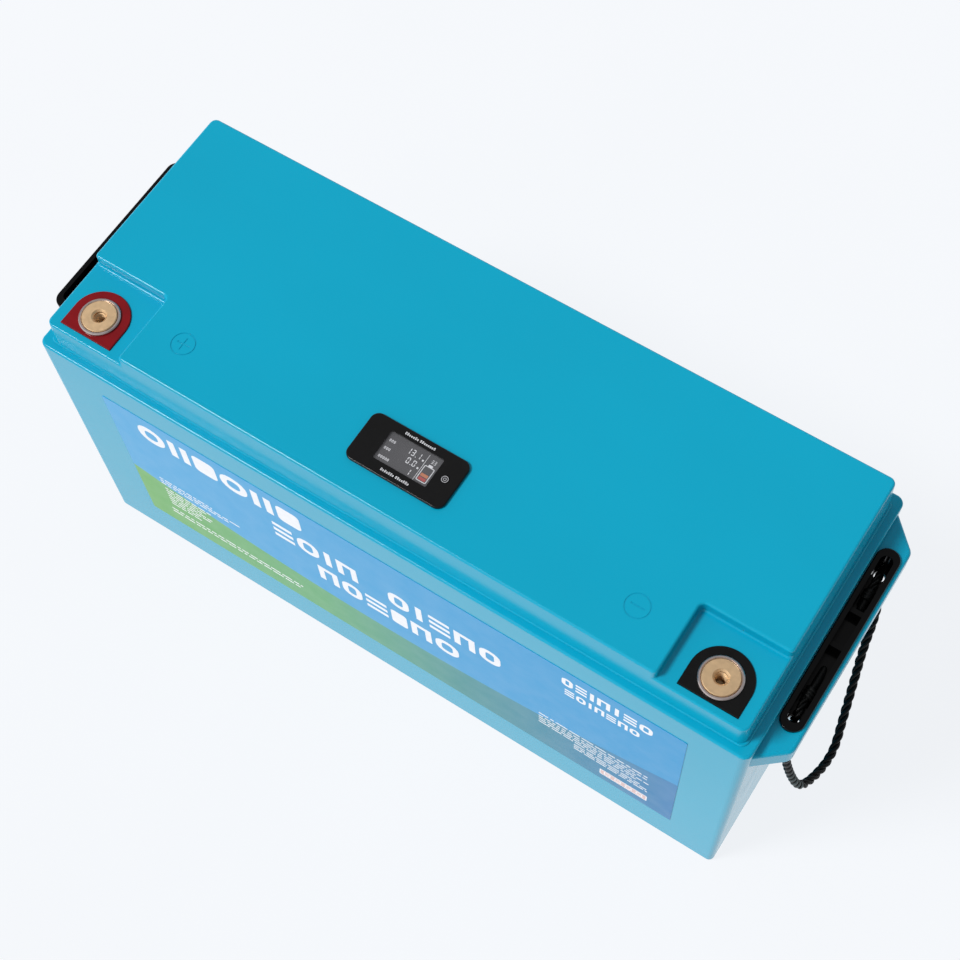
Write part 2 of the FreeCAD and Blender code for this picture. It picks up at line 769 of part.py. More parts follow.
def make_terminal(side, pole):
    x = side * terminal_offset
    y = -terminal_front
    seat = recess_floor - pad_inset
    cushion = new_body(f"terminal_pad_{pole}")
    outline = new_sketch(cushion, seat)
    draw_tombstone(outline, x, y, pad_radius, pad_front)
    draw_circle(outline, x, y, collar_radius + bore_gap)
    pad(cushion, outline, pad_top - seat)
    dress(cushion, "Chamfer", pad_chamfer, outer_pad_edge(x.value, y.value))

    collar_bore = bushing_radius + bore_gap
    turned(
        f"terminal_collar_{pole}",
        [
            (collar_bore, seat),
            (collar_radius, seat),
            (collar_radius, collar_top - collar_edge),
            (collar_radius - collar_edge, collar_top),
            (collar_bore + collar_edge, collar_top),
            (collar_bore, collar_top - collar_edge),
        ],
        x,
        y,
    )
    sink = countersink_radius - thread_radius
    turned(
        f"terminal_bushing_{pole}",
        [
            (0, bushing_end),
            (shank_radius - bushing_edge, bushing_end),
            (shank_radius, bushing_end + bushing_edge),
            (shank_radius, recess_floor),
            (bushing_radius, recess_floor),
            (bushing_radius, bushing_top - bushing_edge),
            (bushing_radius - bushing_edge, bushing_top),
            (countersink_radius, bushing_top),
            (thread_radius, bushing_top - sink),
            (thread_radius, thread_bottom + 1),
            (0, thread_bottom),
        ],
        x,
        y,
    )
    under = recess_floor - lid_wall
    turned(
        f"terminal_seal_{pole}",
        [
            (shank_radius + bore_gap, under - pole_washer),
            (pole_washer_radius, under - pole_washer),
            (pole_washer_radius, under),
            (shank_radius + bore_gap, under),
        ],
        x,
        y,
    )
    nut = new_body(f"terminal_nut_{pole}")
    hexagon = new_sketch(nut, pole_plate - nut_height)
    reach = nut_flats / 2 / math.cos(math.radians(30))
    angles = [math.radians(60 * i) for i in range(6)]
    corners = [(x + reach * math.cos(a), y + reach * math.sin(a)) for a in angles]
    draw_polygon(hexagon, corners)
    draw_circle(hexagon, x, y, shank_radius + bore_gap / 2)
    pad(nut, hexagon, nut_height)


def outer_pad_edge(x, y):
    """Top edges of a terminal pad, without the round hole for the collar."""
    level = level_edge(pad_top)
    inside = collar_radius.value + 0.5

    def test(edge):
        far = max(math.hypot(v.X - x, v.Y - y) for v in edge.Vertexes)
        return level(edge) and far > inside

    return test


# ---------------------------------------------------------------- display


def make_display():
    y = -display_front
    flange_bottom = plateau_top + gasket_thickness
    base = display_top - display_depth
    shell_wall = 1.6
    bezel = new_body("display_bezel")
    face = new_sketch(bezel, flange_bottom)
    draw_rounded(face, 0, y, display_length, display_width, display_corner)
    pad(bezel, face, display_top - flange_bottom)
    dress(bezel, "Fillet", tray_edge, level_edge(display_top))
    shell = new_sketch(bezel, flange_bottom)
    draw_rounded(shell, 0, y, body_length, body_width, body_corner)
    pad(bezel, shell, flange_bottom - base, downward=True)
    hollow = new_sketch(bezel, base)
    hollow_length = body_length - 2 * shell_wall
    hollow_width = body_width - 2 * shell_wall
    draw_rounded(hollow, 0, y, hollow_length, hollow_width, body_corner - shell_wall)
    pocket(bezel, hollow, display_depth - face_thickness, downward=False)
    through = face_thickness + 0.5
    window = new_sketch(bezel, display_top)
    window_corner = 0.8
    draw_rounded(window, 0, -window_front, window_length, window_width, window_corner)
    pocket(bezel, window, through)
    hole = new_sketch(bezel, display_top)
    draw_circle(hole, button_offset, -window_front, button_radius + button_gap)
    pocket(bezel, hole, through)

    gasket_hole = (body_length + 2 * seam, body_width + 2 * seam, body_corner)
    gasket_size = (display_length - 1, display_width - 1, gasket_thickness, display_corner - 0.5)
    plate("display_gasket", 0, y, plateau_top, *gasket_size, gasket_hole)
    pane = display_top - 1.2
    pane_size = (window_length - 2 * bore_gap, window_width - 2 * bore_gap, 1.0, 0.7)
    plate("display_window", 0, -window_front, pane, *pane_size)
    lcd_size = (37.0, 21.5, 2.4, 0.5)
    plate("display_lcd", 0, -window_front, display_top - lcd_drop, *lcd_size)
    board = display_top - board_drop
    board_size = (body_length - 4, body_width - 4, board_thickness, 1.2)
    plate("display_board", 0, y, board, *board_size)

    switch_base = board + board_thickness
    switch = new_body("display_switch")
    can = new_sketch(switch, switch_base)
    draw_rounded(can, button_offset, -window_front, switch_side, switch_side, 0.4)
    pad(switch, can, switch_height)
    plunger = new_sketch(switch, switch_base)
    draw_circle(plunger, button_offset, -window_front, 1.0)
    pad(switch, plunger, plunger_height)

    # The button hangs behind the face on its collar and ends just above the plunger
    button_top = display_top + button_proud
    button_edge = 0.3
    stem_end = switch_base + plunger_height + button_travel + 0.1
    collar_bottom = display_top - face_thickness - 0.6
    collar_level = collar_bottom + 0.4
    turned(
        "display_button",
        [
            (0, stem_end),
            (button_stem, stem_end),
            (button_stem, collar_bottom),
            (button_radius + button_collar, collar_bottom),
            (button_radius + button_collar, collar_level),
            (button_radius, collar_level),
            (button_radius, button_top - button_edge),
            (button_radius - button_edge, button_top),
            (0, button_top),
        ],
        button_offset,
        -window_front,
    )


# ---------------------------------------------------------------- rope handles


def make_tray(label, side):
    body = new_body(label)
    x = side * tray_offset
    rim = new_sketch(body, lug_top)
    draw_slot(rim, x, 0, tray_rim_length, tray_rim_width)
    pad(body, rim, tray_rim_top - lug_top)
    shell = new_sketch(body, lug_top)
    draw_slot(shell, x, 0, tray_body_length, tray_body_width)
    pad(body, shell, lug_top - tray_bottom, downward=True)
    dress(body, "Fillet", tray_edge, level_edge(tray_rim_top))
    trough = new_sketch(body, tray_rim_top)
    draw_slot(trough, x, 0, trough_length, trough_width)
    pocket(body, trough, tray_rim_top - trough_floor)
    for y in (-rope_hole_offset, rope_hole_offset):
        hole = new_sketch(body, trough_floor)
        draw_circle(hole, x, y, rope_hole_radius)
        pocket(body, hole, trough_floor - tray_bottom + 1)
    rib_length = trough_width + 0.4
    rib_width = 3.0
    rib_height = 7.0
    for y in (-2.0, 20.0):
        rib = new_sketch(body, trough_floor - 0.5)
        draw_rounded(rib, x, side * y, rib_length, rib_width, 0.4)
        pad(body, rib, rib_height)


# Route of the rope below the +X lug, from one tray hole down, round and back to the other.
# The -X handle is the same rope turned half round.
ROPE_ROUTE = [
    (234.2, -47.0, 184.4),
    (234.9, -49.2, 174.0),
    (237.0, -53.6, 160.0),
    (243.2, -56.0, 143.0),
    (251.3, -55.8, 127.5),
    (255.6, -42.5, 119.5),
    (257.6, -25.0, 116.5),
    (253.2, -7.5, 121.8),
    (248.6, 10.0, 132.0),
    (243.9, 27.0, 144.0),
    (241.2, 42.0, 157.0),
    (237.4, 48.6, 171.0),
    (234.2, 47.0, 184.4),
]


def half_turned(points):
    return [(-x, -y, z) for x, y, z in points]


def make_rope(side_name, side):
    """The hanging loop, with a ball end at each hole, and the two knotted ends above."""
    route = ROPE_ROUTE if side > 0 else half_turned(ROPE_ROUTE)
    radius = rope_diameter.value / 2
    loop = tube_shape(route, rope_diameter.value)
    for point in (route[0], route[-1]):
        loop = loop.fuse(Part.makeSphere(radius, Vector(*point)))
    shaped(f"rope_loop_{side_name}", loop.removeSplitter())

    ends = []
    start = rope_pivot_height.value + radius + seam.value
    x = side * tray_offset.value
    crown = trough_floor.value + tail_crown.value
    knot_run = 15.0
    knot_drop = 1.8
    tip_drop = 2.2
    tip_slope = -0.12
    for end, tail_length in ((-side, 16.0), (side, 8.0)):
        y = end * rope_hole_offset.value
        inward = -end
        tail = [
            (x, y, start),
            (x, y, start + 5.0),
            (x, y + inward * 2.2, crown - 1.6),
            (x, y + inward * 6.5, crown),
            (x, y + inward * 13.0, crown - 1.5),
        ]
        strand = tube_shape(tail, tail_diameter.value)
        knot_y = y + inward * knot_run
        bulb = Part.makeSphere(knot_radius.value, Vector(x, knot_y, crown - knot_drop))
        root = Vector(x, knot_y, crown - tip_drop)
        lean = Vector(0, inward, tip_slope)
        tip = Part.makeCylinder(tail_tip_radius.value, tail_length, root, lean)
        ends.append(strand.fuse([bulb, tip]).removeSplitter())
    shaped(f"rope_ends_{side_name}", Part.makeCompound(ends))


# ---------------------------------------------------------------- cells


def cell_places():
    """Centres of the four cells, in series order from the positive pole."""
    near = pack_start + cell_length / 2
    far = near + cell_length + cell_gap
    row = cell_thickness / 2 + row_gap / 2
    return [(near, -row), (far, -row), (far, row), (near, row)]


def make_cells():
    top = cell_base + cell_height
    vent_size = (26.0, 14.0, 6.0)
    vent_depth = 0.8
    nut_radius = 5.5
    nut_thickness = 3.0
    posts = []
    nuts = []
    for number, (x, y) in enumerate(cell_places(), 1):
        cell = new_body(f"cell_{number}")
        can = new_sketch(cell, cell_base)
        draw_rounded(can, x, y, cell_length, cell_thickness, cell_corner)
        pad(cell, can, cell_height)
        dress(cell, "Fillet", cell_edge, level_edge(top))
        vent = new_sketch(cell, top)
        draw_rounded(vent, x, y, *vent_size)
        pocket(cell, vent, vent_depth)
        for offset in (-post_offset, post_offset):
            name = f"{number}_{len(posts)}"
            posts.append(rod(f"post_{name}", x + offset, y, top, post_radius, post_height))
            nut_base = top + post_height + busbar_thickness
            nut = rod(f"stud_nut_{name}", x + offset, y, nut_base, nut_radius, nut_thickness)
            nuts.append(nut)
    group("cell_posts", posts)
    group("busbar_nuts", nuts)


def make_busbars():
    (near, front), (far, _), (_, back), _ = cell_places()
    level = cell_base + cell_height + post_height
    span = far - near - 2 * post_offset
    middle = (near + far) / 2
    ends = 22.0
    for label, y in (("busbar_1_2", front), ("busbar_3_4", back)):
        keep(label, block(label, middle, y, level, span + ends, busbar_width, busbar_thickness))
    x = far + post_offset
    rows = back - front
    link = block("busbar_2_3", x, 0, level, busbar_width, rows + ends, busbar_thickness)
    keep("busbar_2_3", link)

    # Copper strap from the first cell's post up to the positive bushing
    strap = new_body("positive_strap")
    low = level
    high = pole_plate
    width = 28.0
    outline = new_sketch(strap, -terminal_offset + 2.0 - width / 2, role="YZ_Plane")
    inner = front + 9.0
    bend = front - 13.0
    outer = -terminal_front - pole_washer_radius
    draw_polygon(
        outline,
        [
            (inner, low),
            (inner, low + busbar_thickness),
            (bend, low + busbar_thickness),
            (bend, high + busbar_thickness),
            (outer, high + busbar_thickness),
            (outer, high),
            (bend - busbar_thickness, high),
            (bend - busbar_thickness, low),
        ],
    )
    pad(strap, outline, width)
    hole = new_sketch(strap, high + busbar_thickness + 1)
    draw_circle(hole, -terminal_offset, -terminal_front, shank_radius + bore_gap)
    pocket(strap, hole, busbar_thickness + 2)


def make_padding():
    (near, front), (far, _), (_, back), _ = cell_places()
    middle = (near + far) / 2
    pack_length = 2 * cell_length + cell_gap
    board_tall = cell_height - 6.0
    keep("row_divider", block("row_divider", middle, 0, cell_base, pack_length, row_gap, board_tall))
    gap = (near + far) / 2
    width = cell_thickness - 2.0
    spacers = [
        block(f"spacer_{i}", gap, y, cell_base, cell_gap - 0.1, width, board_tall)
        for i, y in enumerate((front, back))
    ]
    group("cell_spacers", spacers)
    pack_width = 2 * cell_thickness + row_gap
    plate_size = (2.0, pack_width - 4.0, cell_height - 10.0)
    left = near - cell_length / 2 - 1.1
    right = far + cell_length / 2 + 1.1
    keep("end_plate_left", block("end_plate_left", left, 0, cell_base, *plate_size))
    keep("end_plate_right", block("end_plate_right", right, 0, cell_base, *plate_size))
    base_size = (430.0, 150.0, cell_base - case_floor)
    keep("foam_base", block("foam_base", 0, 0, case_floor, *base_size))
    pad_depth = 18.0
    pad_height = 170.0
    for label, side in (("foam_front", -1), ("foam_back", 1)):
        y = side * (pack_width / 2 + pad_depth / 2 + 0.6)
        size = (pack_length - 30.0, pad_depth, pad_height)
        keep(label, block(label, middle, y, cell_base, *size))

    bands = []
    thickness = 0.4
    for i, height in enumerate((42.0, 130.0)):
        body = doc.addObject("PartDesign::Body", f"band_{i}")
        band = new_sketch(body, cell_base + height)
        length = pack_length + 4.6
        width = pack_width + 0.4
        draw_rounded(band, middle, 0, length + 2 * thickness, width + 2 * thickness, 1.5)
        draw_rounded(band, middle, 0, length, width, 1.1)
        pad(body, band, 16.0)
        bands.append(body)
    group("pack_bands", bands)


# ---------------------------------------------------------------- management board and cables


def make_management():
    """The battery management board stands across the +X end, on its heat sink."""
    thickness = 1.8
    middle = board_base + board_height / 2
    size = (thickness, board_width, board_height)
    keep("bms_board", block("bms_board", board_position, 0, board_base, *size))

    plate_x = board_position + 6.0
    sink_inset = 6.0
    sink = new_body("bms_heat_sink")
    comb = new_sketch(sink, board_base + sink_inset)
    half = board_width / 2 - 4.0
    fin = 2.0
    pitch = 8.0
    fins = 12
    root = plate_x + 3.0
    tip = plate_x + 13.0
    corners = [(plate_x, half), (plate_x, -half)]
    for i in range(fins):
        low = pitch * i - half
        corners += [(tip, low), (tip, low + fin), (root, low + fin)]
        if i < fins - 1:
            corners.append((root, low + pitch))
    corners.append((root, half))
    draw_polygon(comb, corners)
    pad(sink, comb, board_height - 2 * sink_inset)

    chips = []
    chip_size = (4.2, 9.5, 14.0)
    chip_x = board_position + thickness / 2 + chip_size[0] / 2 + 0.1
    chip_start = -42.0
    chip_pitch = 12.0
    row_base = board_base + 30.0
    row_pitch = 60.0
    for row in range(2):
        for column in range(8):
            y = chip_start + chip_pitch * column
            z = row_base + row_pitch * row
            chips.append(block(f"mosfet_{row}_{column}", chip_x, y, z, *chip_size))
    group("bms_mosfets", chips)

    posts = []
    heads = []
    along_x = Rotation(Vector(0, 1, 0), 90)
    (_, _), (far, _), _, _ = cell_places()
    wall = far + cell_length / 2 + 2.2
    run = board_position - thickness / 2 - wall
    face = board_position + thickness / 2
    standoff_radius = 4.0
    head_radius = 2.8
    head_height = 2.4
    reach = 45.0
    low = board_base + 8.0
    high = board_base + board_height - 8.0
    for i, (y, z) in enumerate(((-reach, low), (reach, low), (-reach, high), (reach, high))):
        posts.append(rod(f"standoff_{i}", wall, y, z, standoff_radius, run, along_x))
        heads.append(rod(f"screw_{i}", face, y, z, head_radius, head_height, along_x))
    group("bms_standoffs", posts)
    group("bms_screws", heads)
    socket_x = board_position + 3.4
    socket_z = middle + 58.0
    sockets = [
        block(f"socket_{i}", socket_x, y, socket_z, 5.0, length, 8.0)
        for i, (y, length) in enumerate(((-6.0, 18.0), (14.0, 10.0)))
    ]
    group("bms_sockets", sockets)


def make_cables():
    """Internal cables, held between their lugs along their real routes."""
    (near, _), (far, _), (_, back), _ = cell_places()
    level = (cell_base + cell_height + post_height).value
    row = back.value
    post = (near - post_offset).value
    board = board_position.value
    top = (board_base + board_height).value
    thick = power_cable_diameter.value
    barrel = 9.4
    face = 0.9
    inner = board - face - barrel / 2
    outer = board + face + barrel / 2
    barrel_end = post + 23.0
    high = level + 8.5
    shaped("negative_cable_cells", tube_shape(
        [
            (barrel_end, row, level + barrel / 2),
            (barrel_end + 22.0, row + 2.0, high - 2.0),
            (barrel_end + 62.0, row + 12.0, high),
            (barrel_end + 120.0, row + 17.0, high + 1.0),
            (barrel_end + 180.0, row + 15.0, high),
            (barrel_end + 240.0, row + 18.0, high + 1.0),
            (barrel_end + 285.0, row + 14.0, high),
            (inner - 12.0, row + 2.0, high - 1.0),
            (inner, row - 4.0, level - 9.0),
            (inner, row - 5.0, top - 9.0),
        ],
        thick,
    ))
    pole = terminal_offset.value
    front = terminal_front.value
    sleeve_depth = 7.0
    lug_base = pole_plate.value - sleeve_depth
    shaped("negative_cable_pole", tube_shape(
        [
            (outer, -30.0, top + 1.0),
            (outer + 0.2, -31.0, top + 11.0),
            (outer + 3.0, -41.0, top + 22.0),
            (pole - 22.0, -55.0, top + 31.0),
            (pole - 20.0, -front, lug_base),
        ],
        thick,
    ))
    lid_inside = (plateau_top - lid_wall).value
    shaped("display_cable", tube_shape(
        [
            (18.0, -42.0, (display_top - 7.6).value),
            (24.0, -36.0, lid_inside - 8.0),
            (40.0, -18.0, lid_inside - 10.0),
            (75.0, -6.0, lid_inside - 11.0),
            (115.0, 4.0, lid_inside - 12.0),
            (148.0, 11.0, lid_inside - 18.0),
            (board + 3.2, 14.0, lid_inside - 36.0),
            (board + 3.4, 14.0, top - 4.0),
        ],
        signal_cable_diameter.value,
    ))
    pole_lug = doc.addObject("PartDesign::Body", "pole_lug")
    ring = new_sketch(pole_lug, pole_plate)
    draw_rounded(ring, pole - 7.5, -front, 35.0, 20.0, 4.0)
    draw_circle(ring, terminal_offset, -terminal_front, shank_radius + bore_gap)
    pad(pole_lug, ring, busbar_thickness)
    sleeve = new_sketch(pole_lug, pole_plate)
    draw_rounded(sleeve, pole - 20.0, -front, barrel, barrel, 2.0)
    pad(pole_lug, sleeve, sleeve_depth, downward=True)
    lugs = [
        block("lug_cells", post + 1.0, row, level, 20.0, 14.0, busbar_thickness),
        block("lug_cells_barrel", post + 17.0, row, level, 12.0, barrel, barrel),
        block("lug_board_in", inner, row - 5.0, top - 19.0, barrel, 13.0, 10.0),
        block("lug_board_out", outer, -30.0, top - 5.0, barrel, 13.0, 6.0),
        pole_lug,
    ]
    group("cable_lugs", lugs)
    harness_size = (250.0, 12.0, 1.2)
    harness = block("sense_harness", far - 20.0, 0, level + 3.2, *harness_size)
    keep("sense_harness", harness)
    along_x = Rotation(Vector(0, 1, 0), 90)
    probe_radius = 2.0
    probe_z = cell_base + cell_height + probe_radius + 0.2
    probe = rod("temperature_probe", near, 0, probe_z, probe_radius, 14.0, along_x)
    keep("temperature_probe", probe)


# ---------------------------------------------------------------- build and write


make_case()
make_lid()
make_seal()
make_label()
for side, pole in ((-1, "positive"), (1, "negative")):
    make_terminal(side, pole)
make_display()
for side, name in ((-1, "left"), (1, "right")):
    make_tray(f"handle_tray_{name}", side)
    make_rope(name, side)
make_cells()
make_busbars()
make_padding()
make_management()
make_cables()
doc.recompute()

for item in doc.Objects:
    if "Invalid" in item.State or "Error" in item.State:
        raise ValueError(f"{item.Label} failed: {item.State}")
for label, item in pieces.items():
    shape = item.Shape
    if shape.isNull() or not shape.isValid() or not shape.Solids:
        raise ValueError(f"{label} has no valid solid")
    if item.TypeId == "PartDesign::Body" and len(shape.Solids) != 1:
        raise ValueError(f"{label} is in {len(shape.Solids)} pieces")
for label, item in pieces.items():
    item.Shape.exportStep(f"{OUT}/{label}.step")
print(f"{len(pieces)} nodes written")
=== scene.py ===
import json
import math
import random

import bmesh
import bpy
from mathutils import Matrix, Vector


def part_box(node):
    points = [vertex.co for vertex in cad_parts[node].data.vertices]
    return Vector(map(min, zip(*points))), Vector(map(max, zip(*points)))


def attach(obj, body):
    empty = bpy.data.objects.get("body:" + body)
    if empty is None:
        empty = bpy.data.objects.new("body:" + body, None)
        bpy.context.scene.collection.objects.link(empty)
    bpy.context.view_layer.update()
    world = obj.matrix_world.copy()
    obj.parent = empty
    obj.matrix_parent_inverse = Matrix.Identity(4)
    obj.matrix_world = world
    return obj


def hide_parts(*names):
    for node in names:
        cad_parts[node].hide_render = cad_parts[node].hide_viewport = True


# The looks of a deep cycle battery in a moulded blue case, built round its CAD frame.
# Everything is in metres, with X along the battery and Z up.

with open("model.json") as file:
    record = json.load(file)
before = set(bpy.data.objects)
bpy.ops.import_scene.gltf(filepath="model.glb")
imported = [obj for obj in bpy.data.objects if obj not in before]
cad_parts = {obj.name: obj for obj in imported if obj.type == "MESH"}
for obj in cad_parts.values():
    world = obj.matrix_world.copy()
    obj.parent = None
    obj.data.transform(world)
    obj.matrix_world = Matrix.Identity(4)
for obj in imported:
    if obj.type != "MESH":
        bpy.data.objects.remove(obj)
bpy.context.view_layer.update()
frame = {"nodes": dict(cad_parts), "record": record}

MM = 0.001
UP = Vector((0, 0, 1))
random.seed(7)


# ------------------------------------------------------------------ camera


CAMERA_AZIMUTH = math.radians(37.11)
CAMERA_ELEVATION = math.radians(63.99)
CAMERA_ROLL = math.radians(-4.505)
CAMERA_PLACE = Vector((0.27856, -0.35850, 1.06580))
CAMERA_LENS = 66.63
CAMERA_SHIFT = (0.0059, -0.0016)


def add_camera():
    """A camera above the front right corner, looking down on the lid."""
    data = bpy.data.cameras.new("camera")
    data.lens = CAMERA_LENS
    data.sensor_width = 36.0
    data.shift_x, data.shift_y = CAMERA_SHIFT
    data.clip_start = 0.05
    camera = bpy.data.objects.new("camera", data)
    bpy.context.scene.collection.objects.link(camera)
    flat = math.cos(CAMERA_ELEVATION)
    back = Vector((
        math.sin(CAMERA_AZIMUTH) * flat,
        -math.cos(CAMERA_AZIMUTH) * flat,
        math.sin(CAMERA_ELEVATION),
    ))
    right = Vector((math.cos(CAMERA_AZIMUTH), math.sin(CAMERA_AZIMUTH), 0))
    turn = Matrix.Rotation(CAMERA_ROLL, 3, back)
    right = turn @ right
    up = back.cross(right)
    axes = Matrix((right, up, back)).transposed().to_4x4()
    camera.matrix_world = Matrix.Translation(CAMERA_PLACE) @ axes
    bpy.context.scene.camera = camera


add_camera()


# ------------------------------------------------------------------ mesh helpers


def finish_mesh(name, mesh, body="root", smooth=False):
    """Turns a bmesh into an object in the scene that rides on a body."""
    bmesh.ops.recalc_face_normals(mesh, faces=mesh.faces)
    data = bpy.data.meshes.new(name)
    mesh.to_mesh(data)
    mesh.free()
    piece = bpy.data.objects.new(name, data)
    bpy.context.scene.collection.objects.link(piece)
    if smooth:
        data.polygons.foreach_set("use_smooth", [True] * len(data.polygons))
    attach(piece, body)
    return piece


def rounded_outline(width, height, radius, steps=4):
    """Points round a rectangle with rounded corners, centred on the origin."""
    radius = min(radius, width / 2 - 1e-6, height / 2 - 1e-6)
    centres = [(1, 1), (-1, 1), (-1, -1), (1, -1)]
    points = []
    for i, (sx, sy) in enumerate(centres):
        cx = sx * (width / 2 - radius)
        cy = sy * (height / 2 - radius)
        for k in range(steps + 1):
            angle = math.pi / 2 * (i + k / steps)
            points.append((cx + radius * math.cos(angle), cy + radius * math.sin(angle)))
    return points


class Plane:
    """A flat working plane: marks are laid on it in its own u and v, in metres."""

    def __init__(self, origin, u, v):
        self.origin = Vector(origin)
        self.u = Vector(u).normalized()
        self.v = Vector(v).normalized()
        self.normal = self.u.cross(self.v)

    def point(self, u, v, lift=0.0):
        return self.origin + self.u * u + self.v * v + self.normal * lift


def add_slab(mesh, plane, outline, low, high, hole=None):
    """A flat slab between two lifts above the plane, with an optional hole of as many points."""
    def ring(points, lift):
        return [mesh.verts.new(plane.point(u, v, lift)) for u, v in points]

    outer_low = ring(outline, low)
    outer_high = ring(outline, high)
    count = len(outline)
    for i in range(count):
        k = (i + 1) % count
        mesh.faces.new((outer_low[i], outer_low[k], outer_high[k], outer_high[i]))
    if hole is None:
        mesh.faces.new(outer_high)
        mesh.faces.new(list(reversed(outer_low)))
        return
    inner_low = ring(hole, low)
    inner_high = ring(hole, high)
    for i in range(count):
        k = (i + 1) % count
        mesh.faces.new((inner_low[k], inner_low[i], inner_high[i], inner_high[k]))
        mesh.faces.new((outer_high[i], outer_high[k], inner_high[k], inner_high[i]))
        mesh.faces.new((outer_low[k], outer_low[i], inner_low[i], inner_low[k]))


def shifted(outline, u, v):
    return [(a + u, b + v) for a, b in outline]


def add_mark(mesh, plane, u, v, width, height, radius, low, high, line=None):
    """A rounded block centred on (u, v); with a line width it is only its outline."""
    outline = shifted(rounded_outline(width, height, radius), u, v)
    hole = None
    if line is not None:
        inner = rounded_outline(width - 2 * line, height - 2 * line, max(radius - line, 1e-5))
        hole = shifted(inner, u, v)
    add_slab(mesh, plane, outline, low, high, hole)


# ------------------------------------------------------------------ materials


def new_material(name, roughness=0.4, metallic=0.0, **inputs):
    """A material whose constant values are set on the shader's own sockets."""
    material = bpy.data.materials.new(name)
    material.use_nodes = True
    shader = material.node_tree.nodes["Principled BSDF"]
    shader.inputs["Roughness"].default_value = roughness
    shader.inputs["Metallic"].default_value = metallic
    for key, value in inputs.items():
        shader.inputs[key.replace("_", " ")].default_value = value
    return material, material.node_tree, shader


def node(tree, kind, **settings):
    made = tree.nodes.new(kind)
    for key, value in settings.items():
        setattr(made, key, value)
    return made


def place_node(tree, stretch=(1, 1, 1)):
    """The object's own coordinates, stretched along its axes."""
    coordinates = node(tree, "ShaderNodeTexCoord")
    mapping = node(tree, "ShaderNodeMapping")
    mapping.inputs["Scale"].default_value = stretch
    tree.links.new(coordinates.outputs["Object"], mapping.inputs["Vector"])
    return mapping.outputs["Vector"]


def noise(tree, scale, detail=3.0, stretch=(1, 1, 1), roughness=0.55):
    made = node(tree, "ShaderNodeTexNoise")
    made.inputs["Scale"].default_value = scale
    made.inputs["Detail"].default_value = detail
    made.inputs["Roughness"].default_value = roughness
    tree.links.new(place_node(tree, stretch), made.inputs["Vector"])
    return made.outputs["Fac"]


def ramp(tree, source, stops, interpolation="LINEAR"):
    """A colour ramp from (position, colour) stops."""
    made = node(tree, "ShaderNodeValToRGB")
    made.color_ramp.interpolation = interpolation
    elements = made.color_ramp.elements
    while len(elements) < len(stops):
        elements.new(0.5)
    for element, (position, colour) in zip(elements, stops):
        element.position = position
        element.color = (*colour, 1)
    tree.links.new(source, made.inputs["Fac"])
    return made.outputs["Color"]


def spread(tree, source, low, high):
    """Maps a noise's middle range on to low..high."""
    made = node(tree, "ShaderNodeMapRange")
    made.inputs["From Min"].default_value = 0.3
    made.inputs["From Max"].default_value = 0.7
    made.inputs["To Min"].default_value = low
    made.inputs["To Max"].default_value = high
    tree.links.new(source, made.inputs["Value"])
    return made.outputs["Result"]


def add_bump(tree, shader, source, strength, depth):
    bump = node(tree, "ShaderNodeBump")
    bump.inputs["Strength"].default_value = strength
    bump.inputs["Distance"].default_value = depth
    tree.links.new(source, bump.inputs["Height"])
    tree.links.new(bump.outputs["Normal"], shader.inputs["Normal"])


def shade(colour, factor):
    return tuple(min(1.0, c * factor) for c in colour)


def mottled(name, colour, rough, metallic=0.0, scale=40.0, contrast=0.06, grain=900.0,
            bump=0.08, depth=0.00004, stretch=(1, 1, 1), **inputs):
    """A solid material with mottled colour, uneven roughness and a fine surface grain."""
    material, tree, shader = new_material(name, metallic=metallic, **inputs)
    stops = [(0.3, shade(colour, 1 - contrast)), (0.7, shade(colour, 1 + contrast))]
    tree.links.new(ramp(tree, noise(tree, scale, 4, stretch), stops), shader.inputs["Base Color"])
    uneven = spread(tree, noise(tree, scale * 2.7, 5, stretch), *rough)
    tree.links.new(uneven, shader.inputs["Roughness"])
    add_bump(tree, shader, noise(tree, grain, 3, stretch), bump, depth)
    return material


CASE_BLUE = (0.0008, 0.362, 0.545)


def moulded_blue():
    """Satin moulded ABS: a spark-eroded grain, faint flow marks and light handling scuffs."""
    material, tree, shader = new_material("moulded_blue", IOR=1.35)
    flow = noise(tree, 6.0, 3, (1.0, 1.6, 1.0))
    stops = [(0.30, shade(CASE_BLUE, 0.975)), (0.70, shade(CASE_BLUE, 1.025))]
    tree.links.new(ramp(tree, flow, stops), shader.inputs["Base Color"])
    scuffs = noise(tree, 38.0, 4, (1.0, 1.3, 1.0), 0.6)
    tree.links.new(spread(tree, scuffs, 0.17, 0.22), shader.inputs["Roughness"])
    add_bump(tree, shader, noise(tree, 1500.0, 2), 0.05, 0.00002)
    return material


# The band's curved top edge: its lowest point in metres, and how fast it rises to each side.
BAND_LOW_X = -0.015
BAND_LOW_Z = 0.076
BAND_CURVE = 0.76


